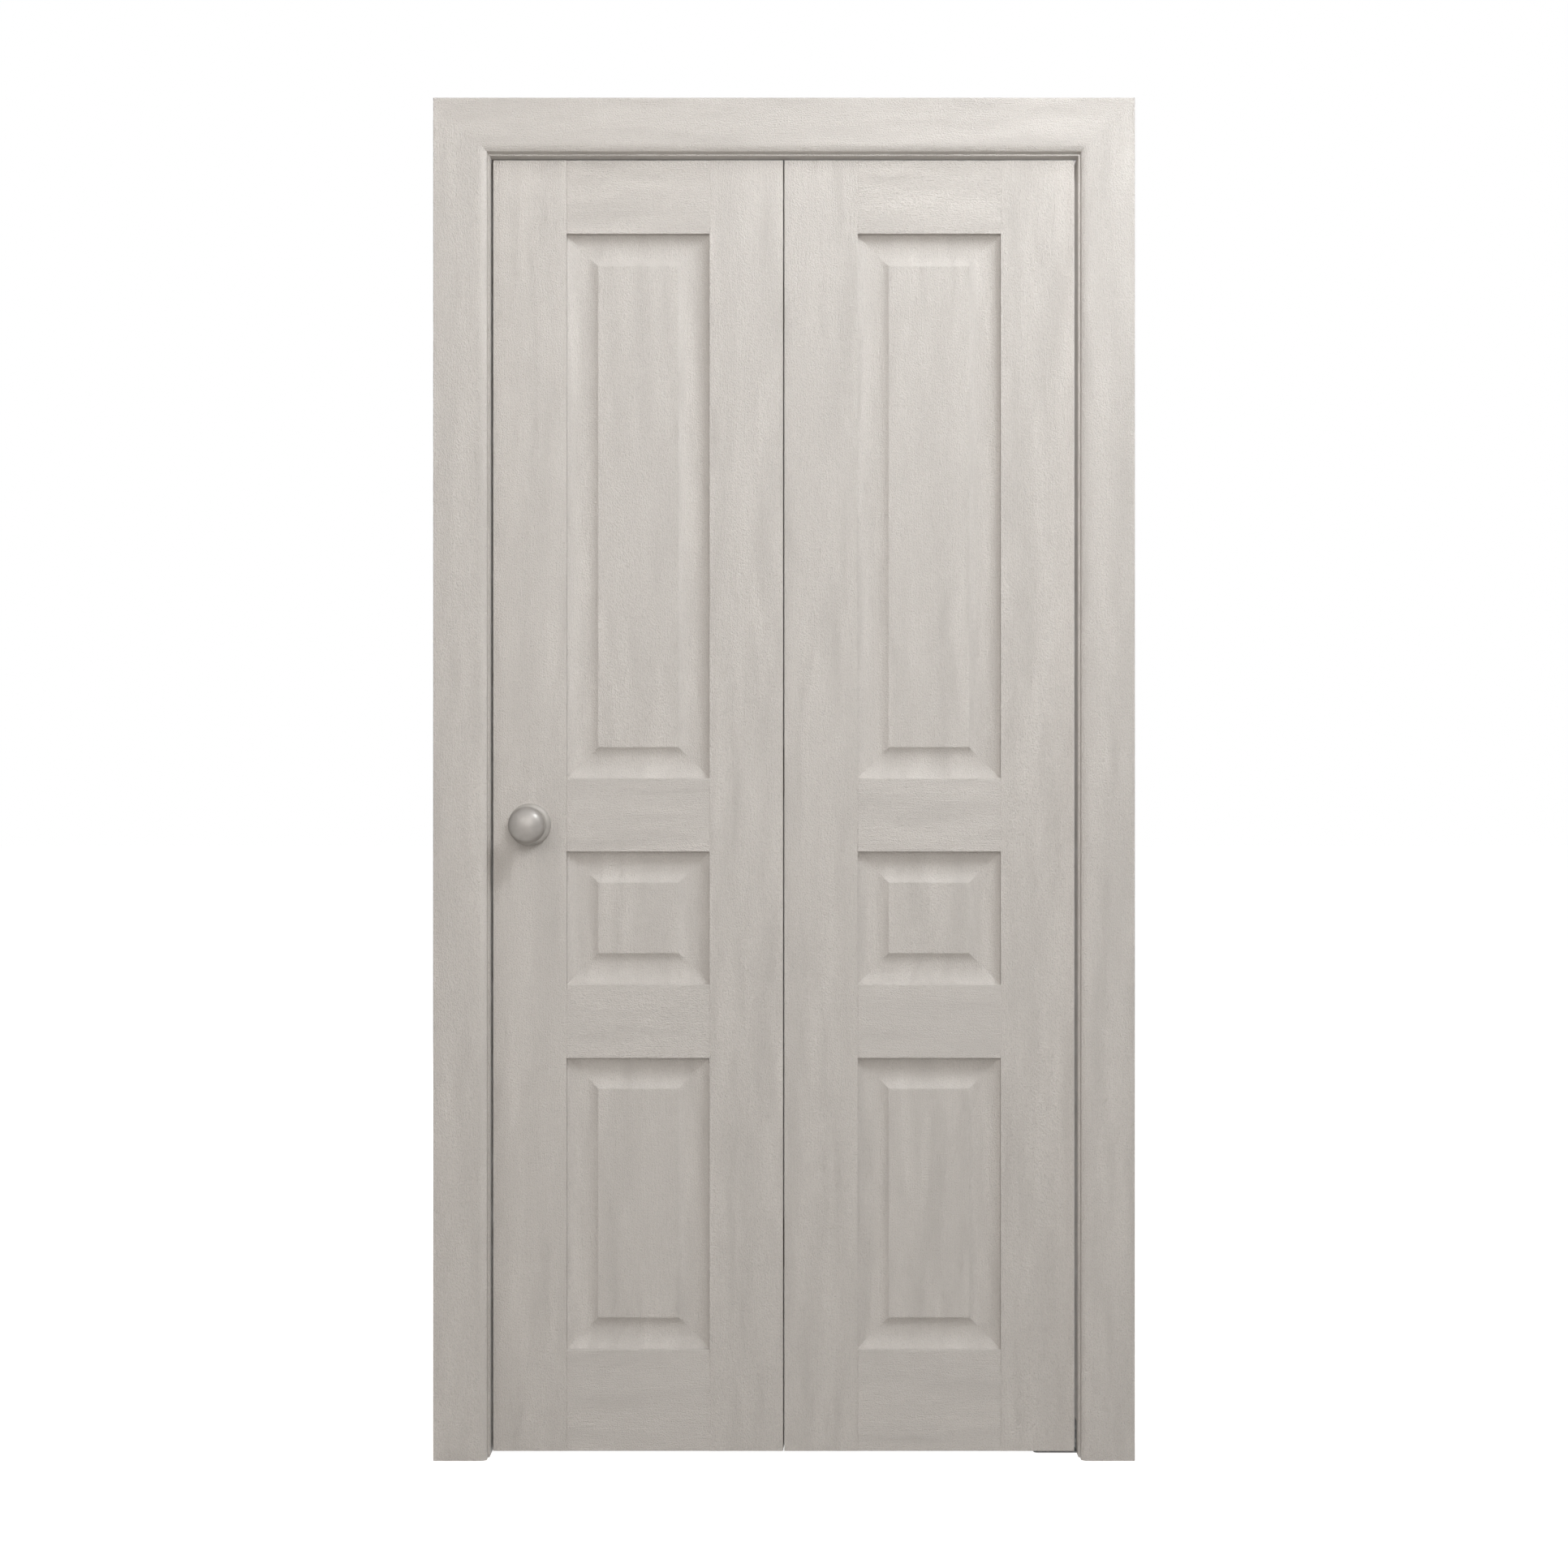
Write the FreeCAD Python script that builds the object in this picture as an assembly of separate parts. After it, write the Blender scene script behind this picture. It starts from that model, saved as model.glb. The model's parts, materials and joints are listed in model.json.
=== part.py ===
"""Bifold closet door in its cased jamb set, all lengths in millimetres.

Two raised-panel leaves are hinged to each other on the closet side.  The right leaf
turns on pivots beside the right jamb, and the left leaf is led by a spring-loaded
guide wheel in a steel channel let into the head jamb.

X runs to the right, Y towards the closet, Z up.  The origin is on the floor, in the
middle of the overall width and depth.
"""
import FreeCAD, Part
import math
import os

V = FreeCAD.Vector

# --- driving dimensions: door leaves ---------------------------------------------
leaf_width = 450.85
leaf_height = 2006.6
leaf_thickness = 35.0
stile_width = 114.3
top_rail_height = 114.3
lock_rail_height = 114.3
bottom_rail_height = 157.2
square_opening_height = 206.8
low_opening_height = 453.4
edge_ease = 1.0
joint_bevel = 0.7

groove_width = 8.2
groove_depth = 10.5
tenon_length = 10.0
dowel_radius = 5.0
dowel_length = 60.0
dowel_inset = 30.0
dowel_end_play = 1.0
wood_fit = 0.1

# --- driving dimensions: raised panels -------------------------------------------
panel_tongue = 9.0
panel_play = 0.1
quirk_depth = 5.9
scoop_depth = 12.7
field_depth = 7.1
cove_width = 27.0
scoop_flat = 3.0
field_margin = 48.4

# --- driving dimensions: gaps round the closed leaves ----------------------------
# Both meeting edges slant alike across the thickness, so no light shows between them.
lead_gap = 3.3
meeting_gap = 1.9
meeting_bevel = 2.2
pivot_gap = 4.4
head_gap = 2.3
floor_gap = 5.1
leaf_setback = 15.0

# --- driving dimensions: jambs and casing ----------------------------------------
jamb_thickness = 19.0
jamb_depth = 116.0
head_jamb_thickness = 32.0
rabbet_depth = 9.5
casing_width = 82.5
casing_thickness = 17.0
casing_reveal = 2.2
casing_round_width = 12.0
casing_round_depth = 4.2
casing_outer_round = 2.0
nail_radius = 0.9
nail_length = 38.0
nail_cover = 4.5
nail_spacing = 450.0
nail_end_distance = 120.0
wall_fixing_radius = 2.5
wall_fixing_sink_radius = 5.0
wall_fixing_spacing = 1400.0
wall_fixing_from_back = 33.0

# --- driving dimensions: track and brackets --------------------------------------
track_width = 24.0
track_height = 14.0
track_wall = 1.2
track_play = 0.2
track_end_gap = 0.5
track_screw_count = 4
track_screw_margin = 30.0
bracket_play = 0.15
top_bracket_height = 10.0
top_bracket_reach = 30.0
top_bracket_screw_offset = 19.0
top_bracket_corner = 3.0
bracket_slot_length = 12.0
bottom_bracket_plate = 2.0
bottom_bracket_reach = 24.0
bottom_bracket_width = 22.0
bottom_bracket_rise = 50.0
bottom_bracket_corner = 6.0
bracket_screw_rise = (16.0, 36.0)

# --- driving dimensions: pivots and guide ----------------------------------------
pivot_backset = 38.1
pin_radius = 4.0
pin_chamfer = 0.8
running_fit = 0.05
socket_radius = 7.0
socket_flange_radius = 10.0
socket_flange = 1.5
socket_neck = 12.0
socket_floor = 2.0
chamber_radius = 5.6
collar_radius = 5.3
collar_height = 3.0
spring_length = 38.0
spring_wire_radius = 0.5
spring_radius = 4.2
spring_turns = 8
spring_spigot_radius = 3.0
spring_spigot_length = 8.0
seat_gap = 0.3
pivot_pin_engagement = 9.2
wheel_radius = 10.4
wheel_height = 8.0
wheel_rise = 1.0
wheel_crown = 0.8
guide_travel = 10.5
guide_cap_radius = 6.0
guide_cap_height = 1.0
guide_neck_radius = 3.0
recess_clearance = 1.2
adjuster_radius = 4.7
adjuster_length = 30.0
adjuster_hex = 17.0

# --- driving dimensions: hinges --------------------------------------------------
hinge_height = 76.0
hinge_plate = 1.8
hinge_plate_width = 32.0
hinge_axis_rise = 3.8
hinge_barrel_radius = 3.6
hinge_pin_radius = 2.0
hinge_pin_head = 1.2
knuckle_gap = 0.3
knuckle_clearance = 0.5
hinge_from_top = 216.0
hinge_from_bottom = 317.0
hinge_corner = 5.0
hinge_screw_spread = 26.0
hinge_screw_far = 23.0
hinge_screw_near = 14.0

# --- driving dimensions: knob ----------------------------------------------------
knob_height = 978.7
rose_radius = 33.0
rose_thickness = 9.0
rose_lip = 3.0
rose_rim_width = 6.0
rose_rim_bow = 1.2
rose_bore_radius = 6.0
knob_projection = 58.0
knob_radius = 28.6
knob_widest_at = 39.0
knob_neck_radius = 10.0
knob_neck_length = 9.0
knob_flare_bow = 1.6
knob_rim_width = 9.4
knob_rim_depth = 9.4
knob_rim_bow = 2.6
knob_button_radius = 16.0
knob_button_rise = 7.8
knob_bolt_radius = 2.5
knob_bolt_grip = 18.0
knob_bolt_head_radius = 6.5
knob_bolt_head_height = 2.6

# --- driving dimensions: wood screws ---------------------------------------------
flat_head_radius = 3.5
flat_head_depth = 1.7
screw_radius = 1.6
screw_fit = 0.05
hinge_screw_length = 18.0
bracket_screw_length = 16.0
pan_head_radius = 4.0
pan_head_height = 1.8
pan_screw_radius = 1.9
pan_head_round = 0.6
track_screw_length = 14.0
top_bracket_screw_length = 18.0
jamb_screw_head_radius = 4.5
jamb_screw_head_depth = 2.6
jamb_screw_radius = 2.2
jamb_screw_length = 55.0
jamb_screw_edge = 14.25

# --- planes and lines that everything is set out from ----------------------------
opening_width = 2 * leaf_width + lead_gap + meeting_gap + pivot_gap
opening_half = opening_width / 2
leaf_bottom = floor_gap
leaf_top = leaf_bottom + leaf_height
soffit = leaf_top + head_gap
jamb_top = soffit + head_jamb_thickness
knob_overhang = max(knob_projection - leaf_setback, casing_thickness)
wall_y = (knob_overhang - jamb_depth) / 2
jamb_back = wall_y + jamb_depth
leaf_front = wall_y + leaf_setback
leaf_mid = leaf_front + leaf_thickness / 2
leaf_back = leaf_front + leaf_thickness

left_leaf = (-opening_half + lead_gap, -opening_half + lead_gap + leaf_width)
right_leaf = (opening_half - pivot_gap - leaf_width, opening_half - pivot_gap)
hinge_x = (left_leaf[1] + right_leaf[0]) / 2
hinge_y = leaf_back + hinge_axis_rise
pivot_x = right_leaf[1] - pivot_backset
guide_x = left_leaf[0] + pivot_backset

track_inside_top = soffit + track_height - track_wall
track_inside_width = track_width - 2 * track_wall
casing_inner = opening_half + casing_reveal
casing_outer = casing_inner + casing_width
casing_soffit = soffit + casing_reveal
casing_top = casing_soffit + casing_width

# Rails and panel openings from the floor up, as (bottom, top) heights.
bottom_rail = (leaf_bottom, leaf_bottom + bottom_rail_height)
low_opening = (bottom_rail[1], bottom_rail[1] + low_opening_height)
lower_lock_rail = (low_opening[1], low_opening[1] + lock_rail_height)
square_opening = (lower_lock_rail[1], lower_lock_rail[1] + square_opening_height)
upper_lock_rail = (square_opening[1], square_opening[1] + lock_rail_height)
top_rail = (leaf_top - top_rail_height, leaf_top)
tall_opening = (upper_lock_rail[1], top_rail[0])

RAILS = {
    "bottom_rail": bottom_rail,
    "lower_lock_rail": lower_lock_rail,
    "upper_lock_rail": upper_lock_rail,
    "top_rail": top_rail,
}
OPENINGS = {
    "low_panel": low_opening,
    "square_panel": square_opening,
    "tall_panel": tall_opening,
}

hinge_centres = {
    "top": leaf_top - hinge_from_top,
    "middle": (leaf_top - hinge_from_top + leaf_bottom + hinge_from_bottom) / 2,
    "bottom": leaf_bottom + hinge_from_bottom,
}


# --- small helpers ---------------------------------------------------------------
def block(x, y, z):
    """A box from three (low, high) pairs."""
    return Part.makeBox(x[1] - x[0], y[1] - y[0], z[1] - z[0], V(x[0], y[0], z[0]))


def rod(radius, start, end):
    """A round bar between two points."""
    axis = end - start
    return Part.makeCylinder(radius, axis.Length, start, axis)


def prism(points, sweep):
    """A polygon swept along a vector."""
    return Part.Face(Part.makePolygon(points + points[:1])).extrude(sweep)


def lathe(edges, centre, axis):
    """A closed outline turned about an axis."""
    return Part.Face(Part.Wire(edges)).revolve(centre, axis, 360)


def fused(first, *rest):
    """One solid out of several that touch."""
    return first.fuse(list(rest)).removeSplitter()


def holed(solid, cutters):
    """A solid with every cutter taken out of it."""
    return solid.cut(list(cutters)) if cutters else solid


def round_edges(solid):
    """The circular edges of a solid."""
    return [e for e in solid.Edges if e.Curve.TypeId == "Part::GeomCircle"]


def mid_y(y_half):
    """A (low, high) pair about the middle of the leaf thickness."""
    return (leaf_mid - y_half, leaf_mid + y_half)


def along(centre, length, count):
    """Evenly spaced places over a length, ends included."""
    step = length / (count - 1)
    return [centre - length / 2 + step * i for i in range(count)]


def flat_screw(head, way, head_radius, head_depth, radius, length, play=0.0):
    """A countersunk screw with its head's face at one point, or its hole with play."""
    cone = Part.makeCone(head_radius + play, radius + play, head_depth, head, way)
    neck = head + way * head_depth
    shank = Part.makeCylinder(radius + play, length - head_depth + play, neck, way)
    return fused(cone, shank)


def pan_screw(seat, way, head_radius, head_height, radius, length, play=0.0):
    """A flat-topped screw whose head stands on a seat, or its hole with play."""
    shank = Part.makeCylinder(radius + play, length + play, seat, way)
    if play:
        return shank
    head = Part.makeCylinder(head_radius, head_height, seat - way * head_height, way)
    rims = [e for e in round_edges(head)
            if e.BoundBox.Center.distanceToPoint(seat) > head_height / 2]
    return fused(head.makeFillet(pan_head_round, rims), shank)


# --- leaves ----------------------------------------------------------------------
def dowel_places(leaf):
    """The middle of each dowel: two at either end of every rail."""
    places = []
    for x in (leaf[0] + stile_width, leaf[1] - stile_width):
        for low, high in RAILS.values():
            for z in (low + dowel_inset, high - dowel_inset):
                places.append(V(x, leaf_mid, z))
    return places


def dowels(leaf, play=0.0, end_play=0.0):
    """The leaf's dowels, or their holes with play round them and at their ends."""
    half = V(dowel_length / 2 + end_play, 0, 0)
    return [rod(dowel_radius + play, p - half, p + half) for p in dowel_places(leaf)]


def stile(edge, joint, bevel=0.0):
    """A full-height upright, grooved along its joint side; the bevel slants its edge."""
    inward = 1 if joint > edge else -1
    outline = [(edge, leaf_front), (joint, leaf_front), (joint, leaf_back), (edge + bevel, leaf_back)]
    blank = prism([V(x, y, leaf_bottom) for x, y in outline], V(0, 0, leaf_height))
    outer_edges = [e for e in blank.Edges
                   if e.BoundBox.ZLength > leaf_height / 2
                   and abs(e.BoundBox.Center.x - joint) > stile_width / 2]
    blank = blank.makeFillet(edge_ease, outer_edges)
    groove_x = sorted((joint, joint - inward * groove_depth))
    groove = block(groove_x, mid_y(groove_width / 2), (leaf_bottom, leaf_top))
    return blank.cut(groove)


def rail(leaf, name):
    """A cross member with bevelled end lines, stub tenons and panel grooves."""
    low, high = RAILS[name]
    left, right = leaf[0] + stile_width, leaf[1] - stile_width
    b = joint_bevel
    outline = [
        (left + b, leaf_front), (right - b, leaf_front), (right, leaf_front + b),
        (right, leaf_back - b), (right - b, leaf_back), (left + b, leaf_back),
        (left, leaf_back - b), (left, leaf_front + b),
    ]
    body = prism([V(x, y, low) for x, y in outline], V(0, 0, high - low))
    tenons = block((left - tenon_length, right + tenon_length),
                   mid_y(groove_width / 2 - wood_fit), (low, high))
    body = fused(body, tenons)
    reach = (left - tenon_length, right + tenon_length)
    if name != "bottom_rail":
        body = body.cut(block(reach, mid_y(groove_width / 2), (low, low + groove_depth)))
    if name != "top_rail":
        body = body.cut(block(reach, mid_y(groove_width / 2), (high - groove_depth, high)))
    return body


def eased_arc(flat, end, at):
    """An arc that leaves the flat point level and rises to the end point."""
    run, rise = end[0] - flat[0], end[1] - flat[1]
    radius = (run * run + rise * rise) / (2 * abs(rise))
    half_run = run / 2
    half_rise = math.copysign(radius - math.sqrt(radius ** 2 - half_run ** 2), rise)
    return Part.Arc(at(*flat), at(flat[0] + half_run, flat[1] + half_rise), at(*end)).toShape()


def scooped_margin(corner, run_way, inward, run):
    """One mitred side of a raised panel's margin, shaped alike on both faces."""
    half = leaf_thickness / 2
    flat_start = (cove_width, half - scoop_depth)
    flat_end = (cove_width + scoop_flat, half - scoop_depth)
    frame_side = (panel_play, half - quirk_depth)
    field_side = (field_margin, half - field_depth)
    edges = []
    for face in (-1, 1):
        def at(u, h, face=face):
            return corner + inward * u + V(0, face * h, 0)
        edges.append(eased_arc(flat_start, frame_side, at))
        edges.append(Part.makeLine(at(*flat_start), at(*flat_end)))
        edges.append(eased_arc(flat_end, field_side, at))
    for u, h in (frame_side, field_side):
        foot = corner + inward * u
        edges.append(Part.makeLine(foot - V(0, h, 0), foot + V(0, h, 0)))
    section = Part.Face(Part.Wire(Part.__sortEdges__(edges)))
    length = section.extrude(run_way * run)
    m = field_margin
    mitre = [corner, corner + run_way * run, corner + run_way * (run - m) + inward * m,
             corner + run_way * m + inward * m]
    return length.common(prism([p - V(0, half, 0) for p in mitre], V(0, leaf_thickness, 0)))


def panel(leaf, name):
    """A raised panel with scooped margins and a tongue in the grooves all round."""
    low, high = OPENINGS[name]
    left, right = leaf[0] + stile_width, leaf[1] - stile_width
    width, height = right - left, high - low
    x_way, z_way = V(1, 0, 0), V(0, 0, 1)
    margins = [
        scooped_margin(V(left, leaf_mid, low), x_way, z_way, width),
        scooped_margin(V(left, leaf_mid, high), x_way, -z_way, width),
        scooped_margin(V(left, leaf_mid, low), z_way, x_way, height),
        scooped_margin(V(right, leaf_mid, low), z_way, -x_way, height),
    ]
    m, t = field_margin, panel_tongue
    field_y = mid_y(leaf_thickness / 2 - field_depth)
    field = block((left + m, right - m), field_y, (low + m, high - m))
    tongue_y = mid_y(groove_width / 2 - wood_fit)
    tongue = block((left - t, right + t), tongue_y, (low - t, high + t))
    return fused(field, tongue, *margins)


def leaf_nodes(side, leaf, outer, meeting, holes):
    """Every wooden piece of one leaf; holes are the pockets cut in its stiles."""
    out_joint = outer + math.copysign(stile_width, meeting - outer)
    meet_joint = meeting - math.copysign(stile_width, meeting - outer)
    bores = dowels(leaf, wood_fit, dowel_end_play)
    nodes = {
        side + "_outer_stile": holed(stile(outer, out_joint), bores + holes["outer"]),
        side + "_meeting_stile": holed(stile(meeting, meet_joint, meeting_bevel),
                                       bores + holes["meeting"]),
        side + "_dowels": Part.makeCompound(dowels(leaf)),
    }
    for name in RAILS:
        nodes[side + "_" + name] = holed(rail(leaf, name), bores)
    for name in OPENINGS:
        nodes[side + "_" + name] = panel(leaf, name)
    return nodes


# --- spring-loaded pins, shared by the top pivot and the guide --------------------
socket_length = socket_neck + seat_gap + collar_height + spring_length + socket_floor


def spring_socket(x, mouth):
    """A flanged plastic sleeve with a narrow neck over a spring chamber."""
    foot = V(x, leaf_mid, mouth - socket_length)
    top = V(x, leaf_mid, mouth)
    body = fused(rod(socket_radius, foot, top),
                 rod(socket_flange_radius, V(x, leaf_mid, mouth - socket_flange), top))
    chamber = rod(chamber_radius, foot + V(0, 0, socket_floor), V(x, leaf_mid, mouth - socket_neck))
    neck = rod(pin_radius + running_fit, foot + V(0, 0, socket_floor), top)
    return body.cut([chamber, neck])


def socket_pocket(x, mouth, length, up):
    """The hole for a sleeve and its let-in flange; up is the way the mouth faces."""
    top = V(x, leaf_mid, mouth)
    way = V(0, 0, up)
    bore = rod(socket_radius + wood_fit, top, top - way * (length + wood_fit))
    flange = rod(socket_flange_radius + wood_fit, top, top - way * socket_flange)
    return fused(bore, flange)


def sprung_pin(x, mouth, tip, tip_radius, shoulder):
    """A steel pin with a collar under the neck; above the shoulder it may be thinner."""
    collar_top = mouth - socket_neck - seat_gap
    collar_foot = collar_top - collar_height
    lower = rod(pin_radius, V(x, leaf_mid, collar_foot), V(x, leaf_mid, shoulder))
    end = rod(tip_radius, V(x, leaf_mid, collar_foot), V(x, leaf_mid, tip))
    rims = [e for e in round_edges(end) if e.BoundBox.Center.z > tip - pin_chamfer]
    end = end.makeChamfer(pin_chamfer, rims)
    collar = rod(collar_radius, V(x, leaf_mid, collar_foot), V(x, leaf_mid, collar_top))
    spigot = rod(spring_spigot_radius, V(x, leaf_mid, collar_foot - spring_spigot_length),
                 V(x, leaf_mid, collar_foot))
    return fused(lower, end, collar, spigot)


def coil_spring(x, mouth):
    """A compression spring from the chamber floor up to the pin's collar."""
    floor = mouth - socket_length + socket_floor
    wire_room = spring_wire_radius + running_fit
    height = spring_length - 2 * wire_room
    start = V(x, leaf_mid, floor + wire_room)
    helix = Part.makeHelix(height / spring_turns, height, spring_radius)
    helix.translate(start)
    ring = Part.Circle(V(x + spring_radius, leaf_mid, start.z), V(0, 1, 0), spring_wire_radius)
    return Part.Wire(helix.Edges).makePipeShell([Part.Wire(ring.toShape())], True, True)


# --- top pivot -------------------------------------------------------------------
bracket_top = track_inside_top - running_fit
bracket_foot = bracket_top - top_bracket_height
pivot_pin_tip = bracket_foot + pivot_pin_engagement
pan_sink_radius = pan_head_radius + seat_gap
pan_sink_depth = pan_head_height + seat_gap
bracket_screw_x = (pivot_x - top_bracket_screw_offset, pivot_x + top_bracket_screw_offset)


def slot(x, radius, length, low, high):
    """A vertical slot with round ends, long in X."""
    half = length / 2 - radius
    middle = block((x - half, x + half), mid_y(radius), (low, high))
    ends = [rod(radius, V(end, leaf_mid, low), V(end, leaf_mid, high)) for end in (x - half, x + half)]
    return fused(middle, *ends)


def top_pivot_bracket():
    """A block in the channel that holds the top pin, slotted for side adjustment."""
    half_width = track_inside_width / 2 - bracket_play
    ends = (pivot_x - top_bracket_reach, opening_half - track_end_gap)
    body = block(ends, mid_y(half_width), (bracket_foot, bracket_top))
    upright = [e for e in body.Edges if e.BoundBox.ZLength > top_bracket_height / 2]
    body = body.makeFillet(top_bracket_corner, upright)
    pin_foot, pin_top = V(pivot_x, leaf_mid, bracket_foot), V(pivot_x, leaf_mid, bracket_top)
    cuts = [rod(pin_radius + running_fit, pin_foot, pin_top)]
    slot_radius = pan_screw_radius + seat_gap
    sink_length = bracket_slot_length + 2 * (pan_head_radius - pan_screw_radius)
    sink_top = bracket_foot + pan_sink_depth
    for x in bracket_screw_x:
        cuts.append(slot(x, slot_radius, bracket_slot_length, bracket_foot, bracket_top))
        cuts.append(slot(x, pan_sink_radius, sink_length, bracket_foot, sink_top))
    return body.cut(cuts)


def top_bracket_screws(play=0.0):
    """Two screws up through the slots and the channel into the head jamb."""
    seat = bracket_foot + pan_sink_depth
    return [pan_screw(V(x, leaf_mid, seat), V(0, 0, 1), pan_head_radius, pan_head_height,
                      pan_screw_radius, top_bracket_screw_length, play) for x in bracket_screw_x]


# --- track -----------------------------------------------------------------------
track_ends = (-opening_half + track_end_gap, opening_half - track_end_gap)
first_track_screw = track_ends[0] + track_screw_margin
last_track_screw = pivot_x - top_bracket_reach - track_screw_margin
track_screw_x = along((first_track_screw + last_track_screw) / 2,
                      last_track_screw - first_track_screw, track_screw_count)


def track_screws(play=0.0):
    """Pan-head screws up through the channel's web."""
    return [pan_screw(V(x, leaf_mid, track_inside_top), V(0, 0, 1), pan_head_radius, pan_head_height,
                      pan_screw_radius, track_screw_length, play) for x in track_screw_x]


def track():
    """A steel channel, open downwards, let in flush with the head jamb."""
    outside = block(track_ends, mid_y(track_width / 2), (soffit, soffit + track_height))
    inside = block(track_ends, mid_y(track_inside_width / 2), (soffit, track_inside_top))
    return outside.cut([inside] + track_screws(screw_fit) + top_bracket_screws(screw_fit))


# --- jambs -----------------------------------------------------------------------
jamb_outer = opening_half + jamb_thickness
wall_fixing_y = jamb_back - wall_fixing_from_back
wall_fixing_z = along(jamb_top / 2, wall_fixing_spacing, 3)
solid_head = (soffit + track_height + jamb_top) / 2
jamb_screw_y = along(wall_y + jamb_depth / 2, jamb_depth - 2 * jamb_screw_edge, 3)


def jamb_screws(side, play=0.0):
    """Screws through a side jamb into the end grain of the head jamb."""
    return [flat_screw(V(side * jamb_outer, y, solid_head), V(-side, 0, 0), jamb_screw_head_radius,
                       jamb_screw_head_depth, jamb_screw_radius, jamb_screw_length, play)
            for y in jamb_screw_y]


def wall_fixing(side, z):
    """A countersunk hole across a side jamb, sunk on the opening side."""
    inside = V(side * opening_half, wall_fixing_y, z)
    way = V(side, 0, 0)
    sink_depth = wall_fixing_sink_radius - wall_fixing_radius
    bore = Part.makeCylinder(wall_fixing_radius, jamb_thickness, inside, way)
    return fused(bore, Part.makeCone(wall_fixing_sink_radius, wall_fixing_radius, sink_depth, inside, way))


def side_jamb(side):
    """A side jamb, rabbeted at its head for the head jamb."""
    x = sorted((side * opening_half, side * jamb_outer))
    body = block(x, (wall_y, jamb_back), (0, jamb_top))
    rabbet_x = sorted((side * opening_half, side * (opening_half + rabbet_depth)))
    cuts = [block(rabbet_x, (wall_y, jamb_back), (soffit, jamb_top))]
    cuts += jamb_screws(side, screw_fit) + side_nails(side, screw_fit)
    cuts += [wall_fixing(side, z) for z in wall_fixing_z]
    if side > 0:
        cuts += [bottom_bracket_blank(wood_fit)] + bottom_bracket_screws(screw_fit)
    return body.cut(cuts)


def head_jamb():
    """The head jamb, with a groove along its underside for the track."""
    half = opening_half + rabbet_depth
    body = block((-half, half), (wall_y, jamb_back), (soffit, jamb_top))
    groove = block((-half, half), mid_y(track_width / 2 + track_play),
                   (soffit, soffit + track_height))
    cuts = [groove] + jamb_screws(-1, screw_fit) + jamb_screws(1, screw_fit) + head_nails(screw_fit)
    return body.cut(cuts + track_screws(screw_fit) + top_bracket_screws(screw_fit))


# --- casing ----------------------------------------------------------------------
def casing_section(at):
    """The casing's outline: u across from the inner edge, d forward of the wall."""
    w, t, r = casing_width, casing_thickness, casing_outer_round
    rw, rd = casing_round_width, casing_round_depth
    diagonal = math.sqrt(0.5)
    outer_round = Part.Arc(at(w - r, t), at(w - r * (1 - diagonal), t - r * (1 - diagonal)), at(w, t - r))
    edges = [
        eased_arc((rw, t), (0, t - rd), at), Part.makeLine(at(rw, t), at(w - r, t)), outer_round.toShape(),
        Part.makeLine(at(w, t - r), at(w, 0)), Part.makeLine(at(w, 0), at(0, 0)),
        Part.makeLine(at(0, 0), at(0, t - rd)),
    ]
    return Part.Face(Part.Wire(edges))


def casing_leg(side):
    """A leg of the casing, mitred at the top and standing on the floor."""
    section = casing_section(lambda u, d: V(side * (casing_inner + u), wall_y - d, 0))
    length = section.extrude(V(0, 0, casing_top))
    outline = [(casing_inner, 0), (casing_outer, 0),
               (casing_outer, casing_top), (casing_inner, casing_soffit)]
    mitre = prism([V(side * x, wall_y, z) for x, z in outline], V(0, -casing_thickness, 0))
    return length.common(mitre).cut(side_nails(side, screw_fit))


def casing_head():
    """The head of the casing, mitred at both ends."""
    section = casing_section(lambda u, d: V(-casing_outer, wall_y - d, casing_soffit + u))
    length = section.extrude(V(2 * casing_outer, 0, 0))
    outline = [(-casing_inner, casing_soffit), (casing_inner, casing_soffit),
               (casing_outer, casing_top), (-casing_outer, casing_top)]
    mitre = prism([V(x, wall_y, z) for x, z in outline], V(0, -casing_thickness, 0))
    return length.common(mitre).cut(head_nails(screw_fit))


def nail(x, z, play):
    """A finish nail through the casing into the edge of a jamb, its head filled over."""
    front = wall_y - casing_thickness + nail_cover
    return rod(nail_radius + play, V(x, front - play, z), V(x, front + nail_length + play, z))


def nail_row(low, high):
    """Nail places between two ends, at about the nail spacing."""
    length = high - low - 2 * nail_end_distance
    count = max(2, round(length / nail_spacing) + 1)
    return along((low + high) / 2, length, count)


def side_nails(side, play=0.0):
    """The nails of one casing leg."""
    x = side * (opening_half + jamb_thickness / 2)
    return [nail(x, z, play) for z in nail_row(0, soffit)]


def head_nails(play=0.0):
    """The nails of the casing head, above the track's groove."""
    return [nail(x, solid_head, play) for x in nail_row(-opening_half, opening_half)]


# --- bottom pivot ----------------------------------------------------------------
def bottom_bracket_blank(play=0.0):
    """The bent plate on the floor and up the right jamb, or its mortise with play."""
    t = bottom_bracket_plate
    back = opening_half + t + play
    front = pivot_x - bottom_bracket_reach
    half = bottom_bracket_width / 2 + play
    outline = [(front, 0), (back, 0), (back, bottom_bracket_rise + play),
               (opening_half, bottom_bracket_rise + play), (opening_half, t), (front, t)]
    return prism([V(x, leaf_mid - half, z) for x, z in outline], V(0, 2 * half, 0))


def bottom_pivot_bracket():
    """The bent plate with its pivot hole and countersunk screw holes."""
    body = bottom_bracket_blank()
    t = bottom_bracket_plate
    corners = [e for e in body.Edges if e.BoundBox.XMax < pivot_x
               and e.BoundBox.YLength < t and e.BoundBox.ZLength > t / 2]
    body = body.makeFillet(bottom_bracket_corner, corners)
    hole = rod(pin_radius + running_fit, V(pivot_x, leaf_mid, 0), V(pivot_x, leaf_mid, t))
    return body.cut([hole] + bottom_bracket_screws(screw_fit))


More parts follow.
